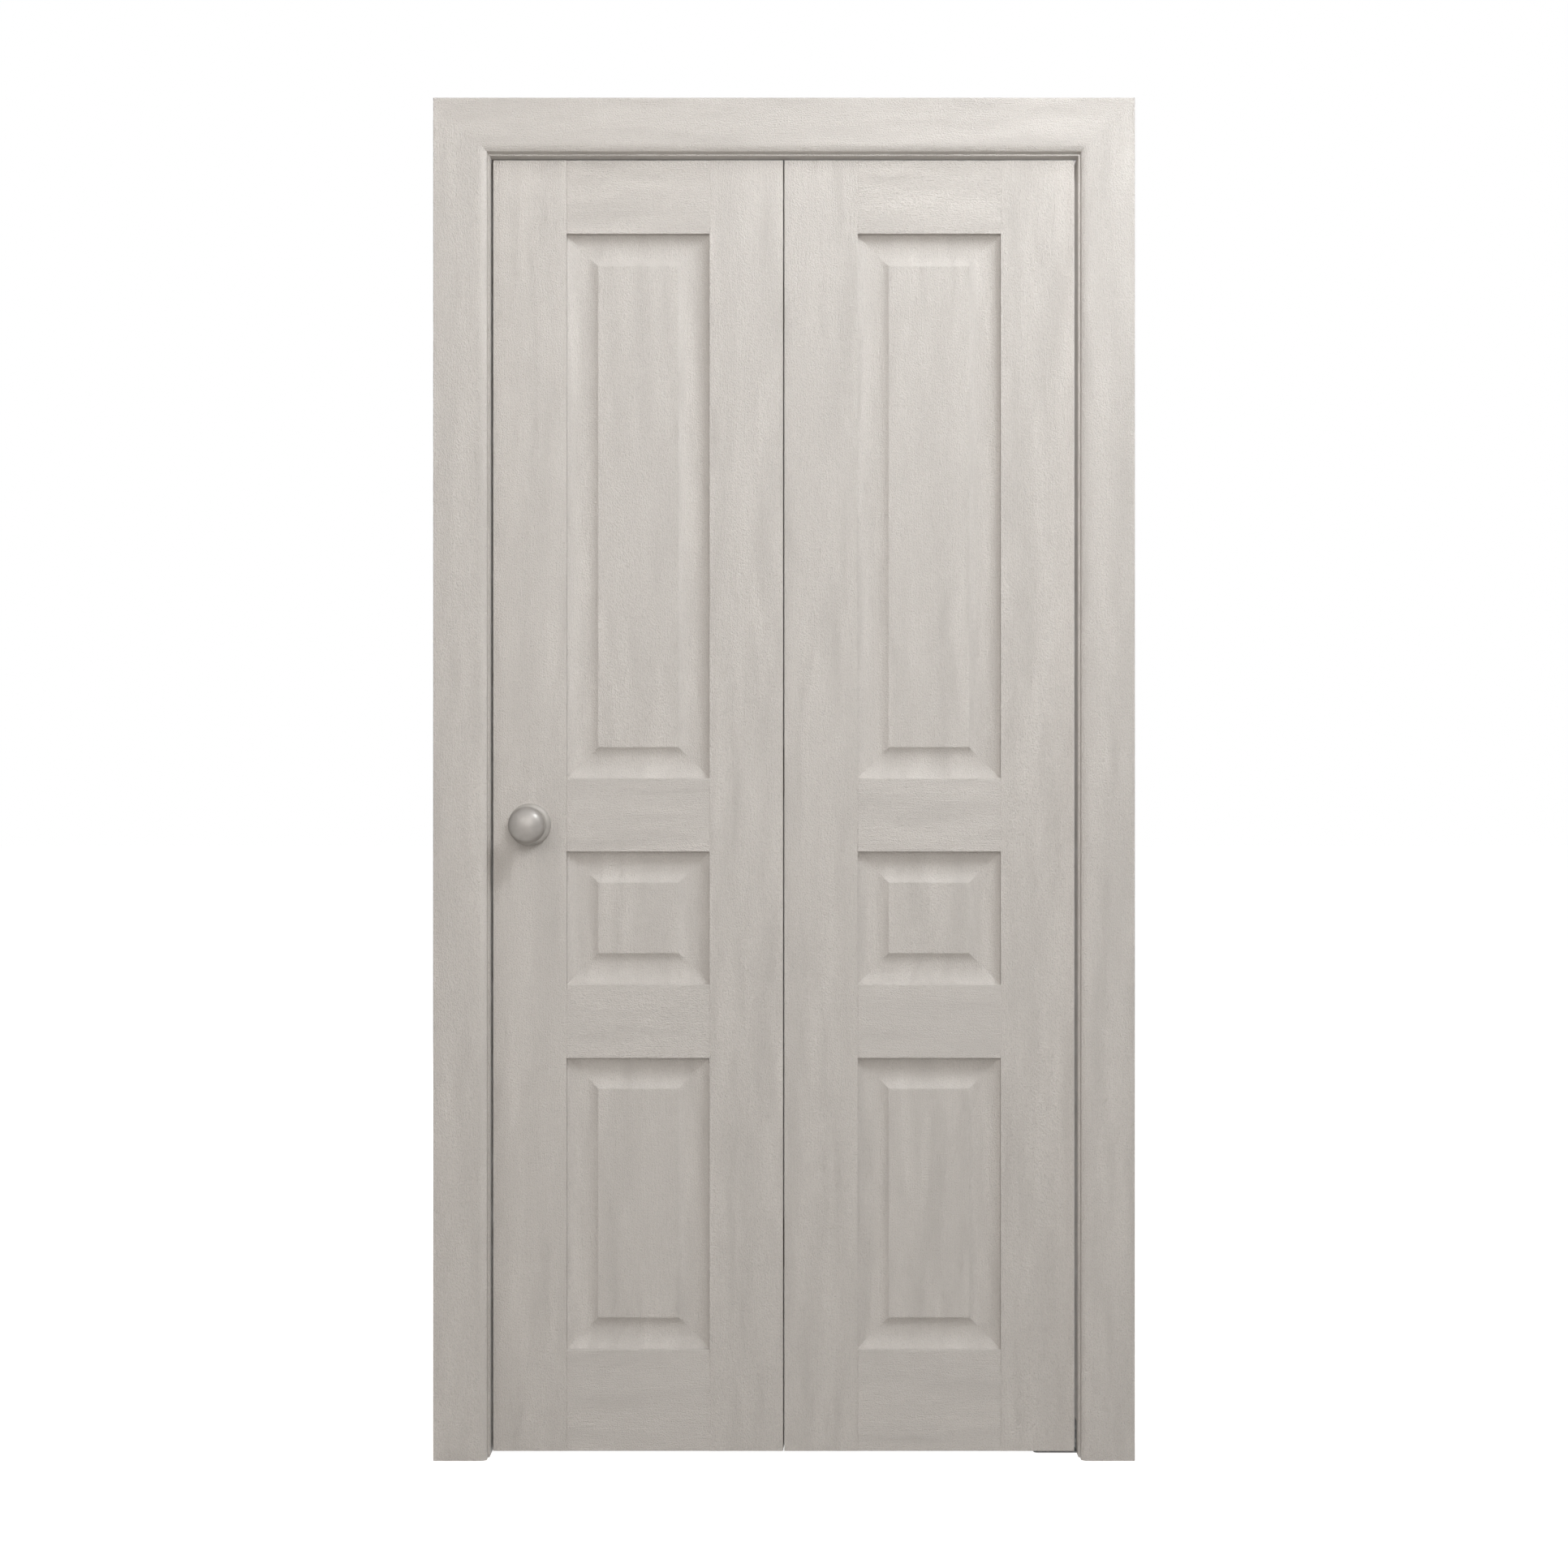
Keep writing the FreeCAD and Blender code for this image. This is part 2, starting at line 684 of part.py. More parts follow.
def bottom_bracket_screws(play=0.0):
    """Two flat-head screws from the bracket into the right jamb."""
    return [flat_screw(V(opening_half, leaf_mid, z), V(1, 0, 0), flat_head_radius, flat_head_depth,
                       screw_radius, bracket_screw_length, play) for z in bracket_screw_rise]


adjuster_low = bottom_bracket_plate + 2 * running_fit
adjuster_high = leaf_bottom - seat_gap
adjuster_top = leaf_bottom + adjuster_length


def bottom_pivot_pin():
    """A threaded pin with a hexagon to turn it and a spigot in the bracket."""
    corner = adjuster_hex / 2 / math.cos(math.pi / 6)
    turns = [math.radians(60 * i) for i in range(6)]
    outline = [V(pivot_x + corner * math.cos(a), leaf_mid + corner * math.sin(a), adjuster_low)
               for a in turns]
    hexagon = prism(outline, V(0, 0, adjuster_high - adjuster_low))
    low, high, top = (V(pivot_x, leaf_mid, z) for z in (adjuster_low, adjuster_high, adjuster_top))
    spigot = rod(pin_radius, V(pivot_x, leaf_mid, running_fit), high)
    return fused(hexagon, spigot, rod(adjuster_radius, low, top))


bottom_socket_length = adjuster_length + socket_floor + seat_gap


def bottom_pivot_socket():
    """A flanged sleeve, threaded for the pin, in the foot of the outer stile."""
    foot = V(pivot_x, leaf_mid, leaf_bottom)
    body = fused(rod(socket_radius, foot, foot + V(0, 0, bottom_socket_length)),
                 rod(socket_flange_radius, foot, foot + V(0, 0, socket_flange)))
    bore = rod(adjuster_radius + screw_fit, foot, V(pivot_x, leaf_mid, adjuster_top + seat_gap))
    return body.cut(bore)


# --- guide -----------------------------------------------------------------------
wheel_foot = soffit + wheel_rise
wheel_top = wheel_foot + wheel_height
guide_tip = wheel_top + running_fit + guide_cap_height
guide_mouth = wheel_foot - guide_travel - recess_clearance


def guide_recess():
    """The pocket that the wheel drops into when the guide is pushed down."""
    foot, top = V(guide_x, leaf_mid, guide_mouth), V(guide_x, leaf_mid, leaf_top)
    return rod(wheel_radius + recess_clearance, foot, top)


def guide_wheel():
    """A crowned nylon wheel that turns on the neck of the guide pin."""
    foot, top = V(guide_x, leaf_mid, wheel_foot), V(guide_x, leaf_mid, wheel_top)
    tyre = rod(wheel_radius, foot, top)
    tyre = tyre.makeFillet(wheel_crown, round_edges(tyre))
    return tyre.cut(rod(guide_neck_radius + running_fit, foot, top))


def guide_cap():
    """A push-on cap that keeps the wheel on its pin."""
    low = V(guide_x, leaf_mid, wheel_top + running_fit)
    cap = rod(guide_cap_radius, low, low + V(0, 0, guide_cap_height))
    return cap.cut(rod(guide_neck_radius, low, low + V(0, 0, guide_cap_height)))


# --- hinges ----------------------------------------------------------------------
def knuckle_spans(centre):
    """Heights of the three knuckles from the bottom; the middle one is the left plate's."""
    pitch = hinge_height / 3
    low = centre - hinge_height / 2
    half_gap = knuckle_gap / 2
    return [(low + pitch * i + half_gap, low + pitch * (i + 1) - half_gap) for i in range(3)]


def hinge_column(radius, low, high):
    """A cylinder on the hinge line."""
    return rod(radius, V(hinge_x, hinge_y, low), V(hinge_x, hinge_y, high))


def hinge_plate_solid(side, centre):
    """A surface hinge's plate on the back of one meeting stile (side -1 left, +1 right)."""
    own, other = ([0, 2], [1]) if side > 0 else ([1], [0, 2])
    spans = knuckle_spans(centre)
    near = hinge_x + side * meeting_gap / 2
    far = hinge_x + side * hinge_plate_width
    low, high = centre - hinge_height / 2, centre + hinge_height / 2
    plate = block(sorted((near, far)), (leaf_back, leaf_back + hinge_plate), (low, high))
    corners = [e for e in plate.Edges
               if e.BoundBox.YLength > hinge_plate / 2
               and abs(e.BoundBox.Center.x - near) > hinge_plate_width / 2]
    plate = plate.makeFillet(hinge_corner, corners)
    swept = hinge_barrel_radius + knuckle_clearance
    notches = [hinge_column(swept, spans[i][0] - knuckle_gap, spans[i][1] + knuckle_gap) for i in other]
    barrels = [hinge_column(hinge_barrel_radius, *spans[i]) for i in own]
    body = fused(plate.cut(notches), *barrels)
    pin_play = screw_fit if side > 0 else running_fit
    cuts = [hinge_column(hinge_pin_radius + pin_play, low, high)]
    return body.cut(cuts + hinge_screws(side, centre, screw_fit))


def hinge_pin(centre):
    """A hinge pin with a button head at the top."""
    low, high = centre - hinge_height / 2, centre + hinge_height / 2
    head_low = high + running_fit
    head = hinge_column(hinge_barrel_radius, head_low, head_low + hinge_pin_head)
    rims = [e for e in round_edges(head) if e.BoundBox.Center.z > head_low + hinge_pin_head / 2]
    head = head.makeFillet(hinge_pin_head / 2, rims)
    return fused(head, hinge_column(hinge_pin_radius, low, head_low))


def hinge_screws(side, centre, play=0.0):
    """Three flat-head screws from a plate into its stile."""
    places = [(hinge_screw_far, hinge_screw_spread), (hinge_screw_far, -hinge_screw_spread),
              (hinge_screw_near, 0)]
    return [flat_screw(V(hinge_x + side * across, leaf_back + hinge_plate, centre + up), V(0, -1, 0),
                       flat_head_radius, flat_head_depth, screw_radius, hinge_screw_length, play)
            for across, up in places]


def all_hinge_screws(side, play=0.0):
    """The screws of all three hinges on one leaf."""
    return [screw for centre in hinge_centres.values() for screw in hinge_screws(side, centre, play)]


# --- knob ------------------------------------------------------------------------
knob_x = left_leaf[0] + stile_width / 2
knob_centre = V(knob_x, leaf_front, knob_height)
forward = V(0, -1, 0)


def knob_point(radius, out):
    """A point of a turned outline: radius from the knob's axis, out from the leaf."""
    return knob_centre + forward * out + V(radius, 0, 0)


def bowed(start, end, bow):
    """An arc between two outline points, its middle standing off the chord by the bow."""
    chord = (end[0] - start[0], end[1] - start[1])
    reach = math.hypot(*chord)
    middle = ((start[0] + end[0]) / 2 + chord[1] / reach * bow,
              (start[1] + end[1]) / 2 - chord[0] / reach * bow)
    return Part.Arc(knob_point(*start), knob_point(*middle), knob_point(*end)).toShape()


def straight(*outline):
    """Straight edges through a run of outline points."""
    return [Part.makeLine(knob_point(*a), knob_point(*b)) for a, b in zip(outline, outline[1:])]


def knob_rose():
    """A round rose with a rolled rim, between the leaf and the knob."""
    rim_foot = (rose_radius, rose_lip)
    rim_top = (rose_radius - rose_rim_width, rose_thickness)
    edges = straight((rose_bore_radius, 0), (rose_radius, 0), rim_foot)
    edges.append(bowed(rim_foot, rim_top, rose_rim_bow))
    edges += straight(rim_top, (rose_bore_radius, rose_thickness), (rose_bore_radius, 0))
    return lathe(edges, knob_centre, forward)


def knob():
    """A turned knob: waisted neck, flared back, rolled rim and a button in its face."""
    neck_end = (knob_neck_radius, rose_thickness + knob_neck_length)
    widest = (knob_radius, knob_widest_at)
    rim_front = (knob_radius - knob_rim_width, knob_widest_at + knob_rim_depth)
    button_foot = (knob_button_radius, knob_projection - knob_button_rise)
    apex = (0, knob_projection)
    edges = straight((0, rose_thickness), (knob_neck_radius, rose_thickness), neck_end)
    edges.append(bowed(neck_end, widest, -knob_flare_bow))
    edges.append(bowed(widest, rim_front, knob_rim_bow))
    edges += straight(rim_front, button_foot)
    edges.append(eased_arc(apex, button_foot, knob_point))
    edges += straight(apex, (0, rose_thickness))
    bolt_end = knob_point(0, rose_thickness + knob_bolt_grip + seat_gap)
    bolt_hole = rod(knob_bolt_radius + screw_fit, knob_centre, bolt_end)
    return lathe(edges, knob_centre, forward).cut(bolt_hole)


def knob_bolt(play=0.0):
    """A machine screw through the stile and the rose into the knob."""
    seat = V(knob_x, leaf_back, knob_height)
    length = leaf_thickness + rose_thickness + knob_bolt_grip
    return pan_screw(seat, forward, knob_bolt_head_radius, knob_bolt_head_height,
                     knob_bolt_radius, length, play)


# --- assembly --------------------------------------------------------------------
def door_set():
    """Every node of the object by name."""
    top_pocket = socket_pocket(pivot_x, leaf_top, socket_length, 1)
    foot_pocket = socket_pocket(pivot_x, leaf_bottom, bottom_socket_length, -1)
    guide_pocket = socket_pocket(guide_x, guide_mouth, socket_length, 1)
    left_holes = {"outer": [guide_pocket, guide_recess(), knob_bolt(screw_fit)],
                  "meeting": all_hinge_screws(-1, screw_fit)}
    right_holes = {"outer": [top_pocket, foot_pocket],
                   "meeting": all_hinge_screws(1, screw_fit)}
    nodes = {
        "jamb_left": side_jamb(-1),
        "jamb_right": side_jamb(1),
        "jamb_head": head_jamb(),
        "jamb_screws": Part.makeCompound(jamb_screws(-1) + jamb_screws(1)),
        "casing_left": casing_leg(-1),
        "casing_right": casing_leg(1),
        "casing_head": casing_head(),
        "casing_nails": Part.makeCompound(side_nails(-1) + side_nails(1) + head_nails()),
        "track": track(),
        "track_screws": Part.makeCompound(track_screws()),
        "top_pivot_bracket": top_pivot_bracket(),
        "top_bracket_screws": Part.makeCompound(top_bracket_screws()),
        "bottom_pivot_bracket": bottom_pivot_bracket(),
        "bottom_bracket_screws": Part.makeCompound(bottom_bracket_screws()),
        "top_pivot_socket": spring_socket(pivot_x, leaf_top),
        "top_pivot_spring": coil_spring(pivot_x, leaf_top),
        "top_pivot_pin": sprung_pin(pivot_x, leaf_top, pivot_pin_tip, pin_radius,
                                    pivot_pin_tip - pin_chamfer),
        "bottom_pivot_socket": bottom_pivot_socket(),
        "bottom_pivot_pin": bottom_pivot_pin(),
        "guide_socket": spring_socket(guide_x, guide_mouth),
        "guide_spring": coil_spring(guide_x, guide_mouth),
        "guide_pin": sprung_pin(guide_x, guide_mouth, guide_tip, guide_neck_radius,
                                wheel_foot - running_fit),
        "guide_wheel": guide_wheel(),
        "guide_cap": guide_cap(),
        "left_hinge_screws": Part.makeCompound(all_hinge_screws(-1)),
        "right_hinge_screws": Part.makeCompound(all_hinge_screws(1)),
        "knob_rose": knob_rose(),
        "knob": knob(),
        "knob_bolt": knob_bolt(),
    }
    for place, centre in hinge_centres.items():
        nodes[place + "_hinge_left_plate"] = hinge_plate_solid(-1, centre)
        nodes[place + "_hinge_right_plate"] = hinge_plate_solid(1, centre)
        nodes[place + "_hinge_pin"] = hinge_pin(centre)
    nodes.update(leaf_nodes("left", left_leaf, left_leaf[0], left_leaf[1], left_holes))
    nodes.update(leaf_nodes("right", right_leaf, right_leaf[1], right_leaf[0], right_holes))
    return nodes


os.makedirs("parts", exist_ok=True)
for node_name, shape in door_set().items():
    shape.exportStep("parts/" + node_name + ".step")
print("hinge line", hinge_x, hinge_y, "pivot line", pivot_x, leaf_mid, "guide line", guide_x)
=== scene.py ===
"""Bifold closet door: painted timber, plated hardware, studio light and camera.

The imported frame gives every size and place.  This file builds the painted boards and the
dressed hardware round it, gives each surface its finish, and sets the stage.  All lengths
are metres: X runs to the right, Y towards the closet, Z up, and the floor is at zero.
"""

import json
import math
from contextlib import contextmanager

import bmesh
import bpy
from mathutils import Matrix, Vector


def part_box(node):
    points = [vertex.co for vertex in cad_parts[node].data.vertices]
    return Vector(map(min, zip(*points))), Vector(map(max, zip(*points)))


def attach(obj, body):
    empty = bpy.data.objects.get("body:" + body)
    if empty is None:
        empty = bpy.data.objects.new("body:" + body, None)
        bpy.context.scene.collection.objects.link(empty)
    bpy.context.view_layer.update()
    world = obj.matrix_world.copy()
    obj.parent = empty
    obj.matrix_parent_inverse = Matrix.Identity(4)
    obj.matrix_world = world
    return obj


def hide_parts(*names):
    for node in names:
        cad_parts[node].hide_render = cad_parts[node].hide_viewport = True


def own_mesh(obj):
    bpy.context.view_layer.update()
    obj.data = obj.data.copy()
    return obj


bl_info = {
    "name": "Bifold Door Finisher",
    "version": (1, 0, 0),
    "blender": (4, 5, 0),
    "location": "View3D > Sidebar > Bifold Door",
    "description": "Builds the painted boards, hardware finishes and studio of a bifold closet door",
    "category": "Object",
}

MM = 0.001
SAME_PLACE = 1e-5  # points and planes that are nearer than this are the same
ON_CURVE = 1e-4  # the same for points that lie on a curve
OVERCUT = 1 * MM  # how far a cutter stands out of what it cuts
DOUBLES = 1e-6  # points that are nearer than this are merged
SHARP = math.radians(35.0)  # edges that turn further than this are sharp
FLAT = math.radians(0.5)  # faces that turn less than this are one face
FACING = 0.9  # a face whose normal has this share along an axis looks that way
SQUARE_ON = 0.99  # the same without the eased edges round it
BORE_SIDES = 48
ORIGIN = (0.0, 0.0, 0.0)
WHITE = (1.0, 1.0, 1.0, 1.0)

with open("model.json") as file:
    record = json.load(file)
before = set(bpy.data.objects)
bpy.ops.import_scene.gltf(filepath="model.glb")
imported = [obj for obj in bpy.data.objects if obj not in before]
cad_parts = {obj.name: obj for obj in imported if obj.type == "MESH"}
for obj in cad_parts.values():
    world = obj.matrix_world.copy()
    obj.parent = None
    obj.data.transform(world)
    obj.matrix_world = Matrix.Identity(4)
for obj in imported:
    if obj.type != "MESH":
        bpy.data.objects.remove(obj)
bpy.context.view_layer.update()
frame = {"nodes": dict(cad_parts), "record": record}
body_of_node = {
    node: body
    for body, nodes in frame["record"]["behaviour"]["bodies"].items()
    for node in nodes
}


# --- places read from the frame ---
class Leaf:
    """Where the boards of one leaf meet."""

    RAILS = ("bottom_rail", "lower_lock_rail", "upper_lock_rail", "top_rail")
    PANELS = ("low_panel", "square_panel", "tall_panel")

    def __init__(self, side):
        self.side = side
        stiles = [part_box(f"{side}_{name}_stile") for name in ("outer", "meeting")]
        left, right = sorted(stiles, key=lambda box: box[0].x)
        self.low_joint = left[1].x
        self.high_joint = right[0].x
        self.front = left[0].y
        self.back = left[1].y
        self.middle = (self.front + self.back) / 2
        self.foot = left[0].z
        self.top = left[1].z
        self.centre = (left[0].x + right[1].x) / 2

    def rail_heights(self, name):
        """The foot and the top of one rail."""
        low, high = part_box(f"{self.side}_{name}")
        return low.z, high.z


leaves = {side: Leaf(side) for side in ("left", "right")}


# --- what a user may change ---
def length(name, description, default):
    """A length property in metres."""
    return bpy.props.FloatProperty(
        name=name, description=description, default=default, min=0.0, unit="LENGTH", precision=5)


def colour(name, description, default):
    """A linear colour property."""
    return bpy.props.FloatVectorProperty(
        name=name, description=description, default=default, size=3, min=0.0, max=1.0,
        subtype="COLOR")


def power(name, description, default):
    """A lamp's power in watts."""
    return bpy.props.FloatProperty(
        name=name, description=description, default=default, min=0.0, unit="POWER")


def share(name, description, default):
    """A plain number between zero and one."""
    return bpy.props.FloatProperty(
        name=name, description=description, default=default, min=0.0, max=1.0, subtype="FACTOR")


class DoorSizes(bpy.types.PropertyGroup):
    """Edges, mouldings and joints of the painted boards."""

    leaf_edge: length("Leaf edge", "Radius of the long outer edges of a leaf", 1.0 * MM)
    opening_edge: length("Opening edge", "Easing of the rails' edges round a panel", 1.5 * MM)
    joint_bevel: length("Joint bevel", "Easing where a rail meets a stile", 0.5 * MM)
    board_edge: length("Board edge", "Easing of every other timber edge", 0.3 * MM)
    metal_edge: length("Metal edge", "Easing of stamped metal edges", 0.25 * MM)
    casing_round_width: length("Round width", "Width of the casing's inner round", 12.0 * MM)
    casing_round_depth: length("Round depth", "Depth of the casing's inner round", 4.2 * MM)
    casing_arris: length("Casing arris", "Easing between the inner round and the reveal", 1.2 * MM)
    casing_outer_round: length("Outer round", "Radius of the casing's outer edge", 2.0 * MM)
    groove_width: length("Groove width", "Groove in stiles and rails", 8.2 * MM)
    groove_depth: length("Groove depth", "Depth of that groove", 10.5 * MM)
    tenon_thickness: length("Tenon thickness", "Stub tenon and panel tongue", 8.0 * MM)
    tenon_length: length("Tenon length", "Stub tenon at either end of a rail", 10.0 * MM)
    dowel_bore: length("Dowel bore", "Radius of a dowel's hole", 5.1 * MM)
    dowel_length: length("Dowel length", "Length of a dowel's hole", 62.0 * MM)
    dowel_inset: length("Dowel inset", "From a rail's edge to its dowel", 30.0 * MM)
    panel_tongue: length("Panel tongue", "Reach of a panel's tongue into the grooves", 9.0 * MM)
    panel_play: length("Panel play", "Gap between a panel's moulding and the frame", 0.1 * MM)
    meeting_bevel: length("Meeting bevel", "Slant of the leaves' meeting edges, front to back", 2.2 * MM)
    quirk_depth: length("Quirk depth", "From the leaf's face to the moulding's outer edge", 5.9 * MM)
    scoop_depth: length("Scoop depth", "From the leaf's face to the bottom of the scoop", 12.7 * MM)
    field_depth: length("Field depth", "From the leaf's face to the raised field", 7.1 * MM)
    cove_width: length("Cove width", "From the frame to the bottom of the scoop", 27.0 * MM)
    scoop_flat: length("Scoop flat", "Level bottom of the scoop", 3.0 * MM)
    field_margin: length("Field margin", "From the frame to the raised field", 48.4 * MM)
    field_edge: length("Field edge", "Easing of the raised field's edge", 0.8 * MM)
    knob_dome: length("Knob dome", "From the knob's widest ring to the front of its dome", 19.0 * MM)
    recess_share: share("Recess size", "Cross recess against the screw's head", 0.56)


class DoorFinishes(bpy.types.PropertyGroup):
    """Colours and textures of the finishes."""

    paint: colour("Paint", "Warm light grey satin paint", (0.57, 0.536, 0.503))
    bare_timber: colour("Bare timber", "Unpainted pine", (0.62, 0.43, 0.25))
    nickel: colour("Satin nickel", "Hinges and knob", (0.32, 0.3, 0.28))
    rose: colour("Brushed nickel", "The knob's rose", (0.4, 0.377, 0.35))
    zinc: colour("Zinc plate", "Track, pins, nails and screws", (0.46, 0.465, 0.47))
    # Painted shade: the bottom bracket's zinc is made dark so that it reads as the shaded gap under the leaf
    # rather than as bright metal.
    dull_zinc: colour("Dull zinc", "Bottom bracket", (0.2, 0.2, 0.198))
    spring: colour("Spring steel", "Oiled spring wire", (0.33, 0.33, 0.34))
    nylon: colour("Nylon", "Sockets, cap and wheel", (0.76, 0.75, 0.71))
    paint_roughness: share("Paint roughness", "Roughness of the satin paint", 0.42)
    pore_depth: length("Pore depth", "Depth of the wood pores under the paint", 1.6 * MM)
    pore_width: length("Pore width", "Width of a wood pore", 1.1 * MM)
    pore_length: length("Pore length", "Length of a wood pore", 2.4 * MM)
    figure_width: length("Figure width", "Spacing of the grain's figure", 22.0 * MM)


class StudioSettings(bpy.types.PropertyGroup):
    """Camera, lamps, floor and surroundings."""

    camera_distance: length("Camera distance", "From the casing's face to the camera", 3.1)
    camera_height: length("Camera height", "Height of the camera above the floor", 1.042)
    lens: bpy.props.FloatProperty(
        name="Lens", description="Focal length on a 36 mm sensor", default=46.25, min=1.0,
        subtype="DISTANCE_CAMERA")
    key_power: power("Key power", "Small lamp high on the right, close to the door", 58.0)
    near_power: power("Near power", "Wide lamp above the camera", 20.0)
    front_power: power("Front power", "Wide lamp in front", 65.0)
    side_power: power("Side power", "Wide lamp on the left", 43.0)
    closet_power: power("Closet power", "Wide lamp on the closet side", 210.0)
    cool: colour("Cool light", "Tint of the key lamp", (0.94, 0.975, 1.0))
    plain: colour("Plain light", "Tint of the lamps above and behind", (1.0, 1.0, 1.0))
    warm: colour("Warm light", "Tint of the lamps in front and on the left", (1.0, 0.97, 0.94))
    sky: share("Sky", "Brightness of the surroundings", 0.03)
    floor: colour("Floor", "Pale studio floor", (0.42, 0.405, 0.385))
    floor_glow: share("Floor glow", "White that is added to the floor near the door", 0.92)


def sizes():
    """The sizes as set in the scene."""
    return bpy.context.scene.door_sizes


def finishes():
    """The finishes as set in the scene."""
    return bpy.context.scene.door_finishes


def studio():
    """The studio as set in the scene."""
    return bpy.context.scene.door_studio


# --- modelling helpers ---
def only(piece):
    """Selects one object and makes it active."""
    bpy.ops.object.select_all(action="DESELECT")
    piece.select_set(True)
    bpy.context.view_layer.objects.active = piece


def settle():
    """Puts the place, turn and scale of what is selected into its mesh."""
    bpy.ops.object.transform_apply(location=True, rotation=True, scale=True)


@contextmanager
def editing(piece, mode="FACE", whole=False):
    """Edit mode on one piece, with its whole mesh or nothing selected at the start."""
    only(piece)
    bpy.ops.object.mode_set(mode="EDIT")
    bpy.ops.mesh.select_mode(type=mode)
    bpy.ops.mesh.select_all(action="SELECT" if whole else "DESELECT")
    yield
    bpy.ops.object.mode_set(mode="OBJECT")


def pick(piece, kind, test):
    """Selects the faces or edges of a piece in edit mode that pass a test."""
    bpy.ops.mesh.select_all(action="DESELECT")
    mesh = bmesh.from_edit_mesh(piece.data)
    for element in getattr(mesh, kind):
        if test(element):
            element.select_set(True)
    bmesh.update_edit_mesh(piece.data)


def pick_faces(piece, test):
    """Selects the faces whose (centre, normal) pass a test."""
    pick(piece, "faces", lambda face: test(face.calc_center_median(), face.normal))


def pick_edges(piece, test):
    """Selects the edges whose two ends pass a test."""
    pick(piece, "edges", lambda edge: test(edge.verts[0].co, edge.verts[1].co))


def near(a, b, within=SAME_PLACE):
    """Whether two coordinates are the same place."""
    return abs(a - b) < within


def runs_along(a, b, axis):
    """Whether the edge between two points runs along one axis."""
    return all(near(a[i], b[i]) for i in range(3) if i != axis)


def add_box(name, low, high):
    """A box between two corners, its place in its mesh."""
    low, high = Vector(low), Vector(high)
    bpy.ops.object.select_all(action="DESELECT")
    bpy.ops.mesh.primitive_cube_add(size=1.0, location=(low + high) / 2)
    box = bpy.context.object
    box.name = name
    box.scale = high - low
    settle()
    return box


def join(name, pieces):
    """Several objects joined into the first."""
    bpy.ops.object.select_all(action="DESELECT")
    for piece in pieces:
        piece.select_set(True)
    bpy.context.view_layer.objects.active = pieces[0]
    if len(pieces) > 1:
        bpy.ops.object.join()
    pieces[0].name = name
    return pieces[0]


def apply_modifier(piece, kind, **settings):
    """Adds one modifier with its settings and applies it."""
    only(piece)
    modifier = piece.modifiers.new(kind.title(), kind)
    for setting, value in settings.items():
        setattr(modifier, setting, value)
    bpy.ops.object.modifier_apply(modifier=modifier.name)


def combine(piece, other, operation):
    """Adds another solid to a piece or takes it out, and deletes it."""
    apply_modifier(piece, "BOOLEAN", object=other, operation=operation, solver="EXACT")
    bpy.data.objects.remove(other)


def cut(piece, *cutters):
    """Takes each cutter out of a piece and deletes it."""
    for cutter in cutters:
        combine(piece, cutter, "DIFFERENCE")


def round_edges(piece, offset, segments, test):
    """Bevels the edges that pass a test."""
    with editing(piece, "EDGE"):
        pick_edges(piece, test)
        bpy.ops.mesh.bevel(offset=offset, segments=segments, profile=0.5, affect="EDGES")


def ease(piece, width, segments=2):
    """Softens every sharp edge."""
    apply_modifier(piece, "BEVEL", width=width, segments=segments, limit_method="ANGLE",
                   angle_limit=SHARP, use_clamp_overlap=True)


def close_slivers(piece):
    """Joins the points of faces that easing left without width."""
    with editing(piece, whole=True):
        bpy.ops.mesh.remove_doubles(threshold=SAME_PLACE)
        bpy.ops.mesh.dissolve_degenerate(threshold=SAME_PLACE)


def smooth(piece):
    """Smooth shading that keeps flat faces flat."""
    only(piece)
    bpy.ops.object.shade_smooth_by_angle(angle=SHARP)
    apply_modifier(piece, "WEIGHTED_NORMAL", keep_sharp=True)


def merged_copy(node, name):
    """A copy of a CAD node's mesh with its triangles joined into plain faces."""
    only(frame["nodes"][node])
    bpy.ops.object.duplicate()
    piece = bpy.context.object
    piece.parent = None
    for key in [key for key in piece.keys() if key.startswith("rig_")]:
        del piece[key]
    piece.name = name
    with editing(piece, whole=True):
        bpy.ops.mesh.customdata_custom_splitnormals_clear()
        bpy.ops.mesh.remove_doubles(threshold=DOUBLES)
        bpy.ops.mesh.dissolve_limited(angle_limit=FLAT)
    return piece


def moved_copy(piece, name, shift):
    """A copy of a piece with its own mesh, moved by a shift."""
    only(piece)
    bpy.ops.object.duplicate()
    copy = bpy.context.object
    copy.name = name
    bpy.ops.transform.translate(value=shift)
    settle()
    return copy


def turned_copy(piece, name, centre):
    """A copy of a piece turned half way round the upright line through a centre."""
    copy = moved_copy(piece, name, ORIGIN)
    with editing(copy, whole=True):
        bpy.ops.transform.rotate(value=math.pi, orient_axis="Z", center_override=centre)
    return copy


def mirrored_copy(piece, name):
    """A copy of a piece mirrored to the other side of the door."""
    copy = moved_copy(piece, name, ORIGIN)
    with editing(copy, whole=True):
        bpy.ops.transform.resize(value=(-1.0, 1.0, 1.0), center_override=ORIGIN)
        bpy.ops.mesh.remove_doubles(threshold=DOUBLES)
        bpy.ops.mesh.normals_make_consistent(inside=False)
    return copy


def copies_for(model, model_node, prefix, nodes):
    """(copy, node) of a model at the place of each node that has its shape."""
    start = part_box(model_node)[0]
    pairs = [(moved_copy(model, prefix + node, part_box(node)[0] - start), node) for node in nodes]
    bpy.data.objects.remove(model)
    return pairs


def stand_for(piece, node, slot_name, *material_names):
    """Finishes a piece: its materials, its body and the node it replaces. The slot name is not used."""
    piece.data.name = piece.name
    piece.data.materials.clear()
    for name in material_names:
        piece.data.materials.append(finish(name))
    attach(piece, body_of_node[node])
    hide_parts(node)


BOARD_STEP = Vector((0.731, 0.317, 1.913))  # from one board's stretch of grain to the next
board_count = 0


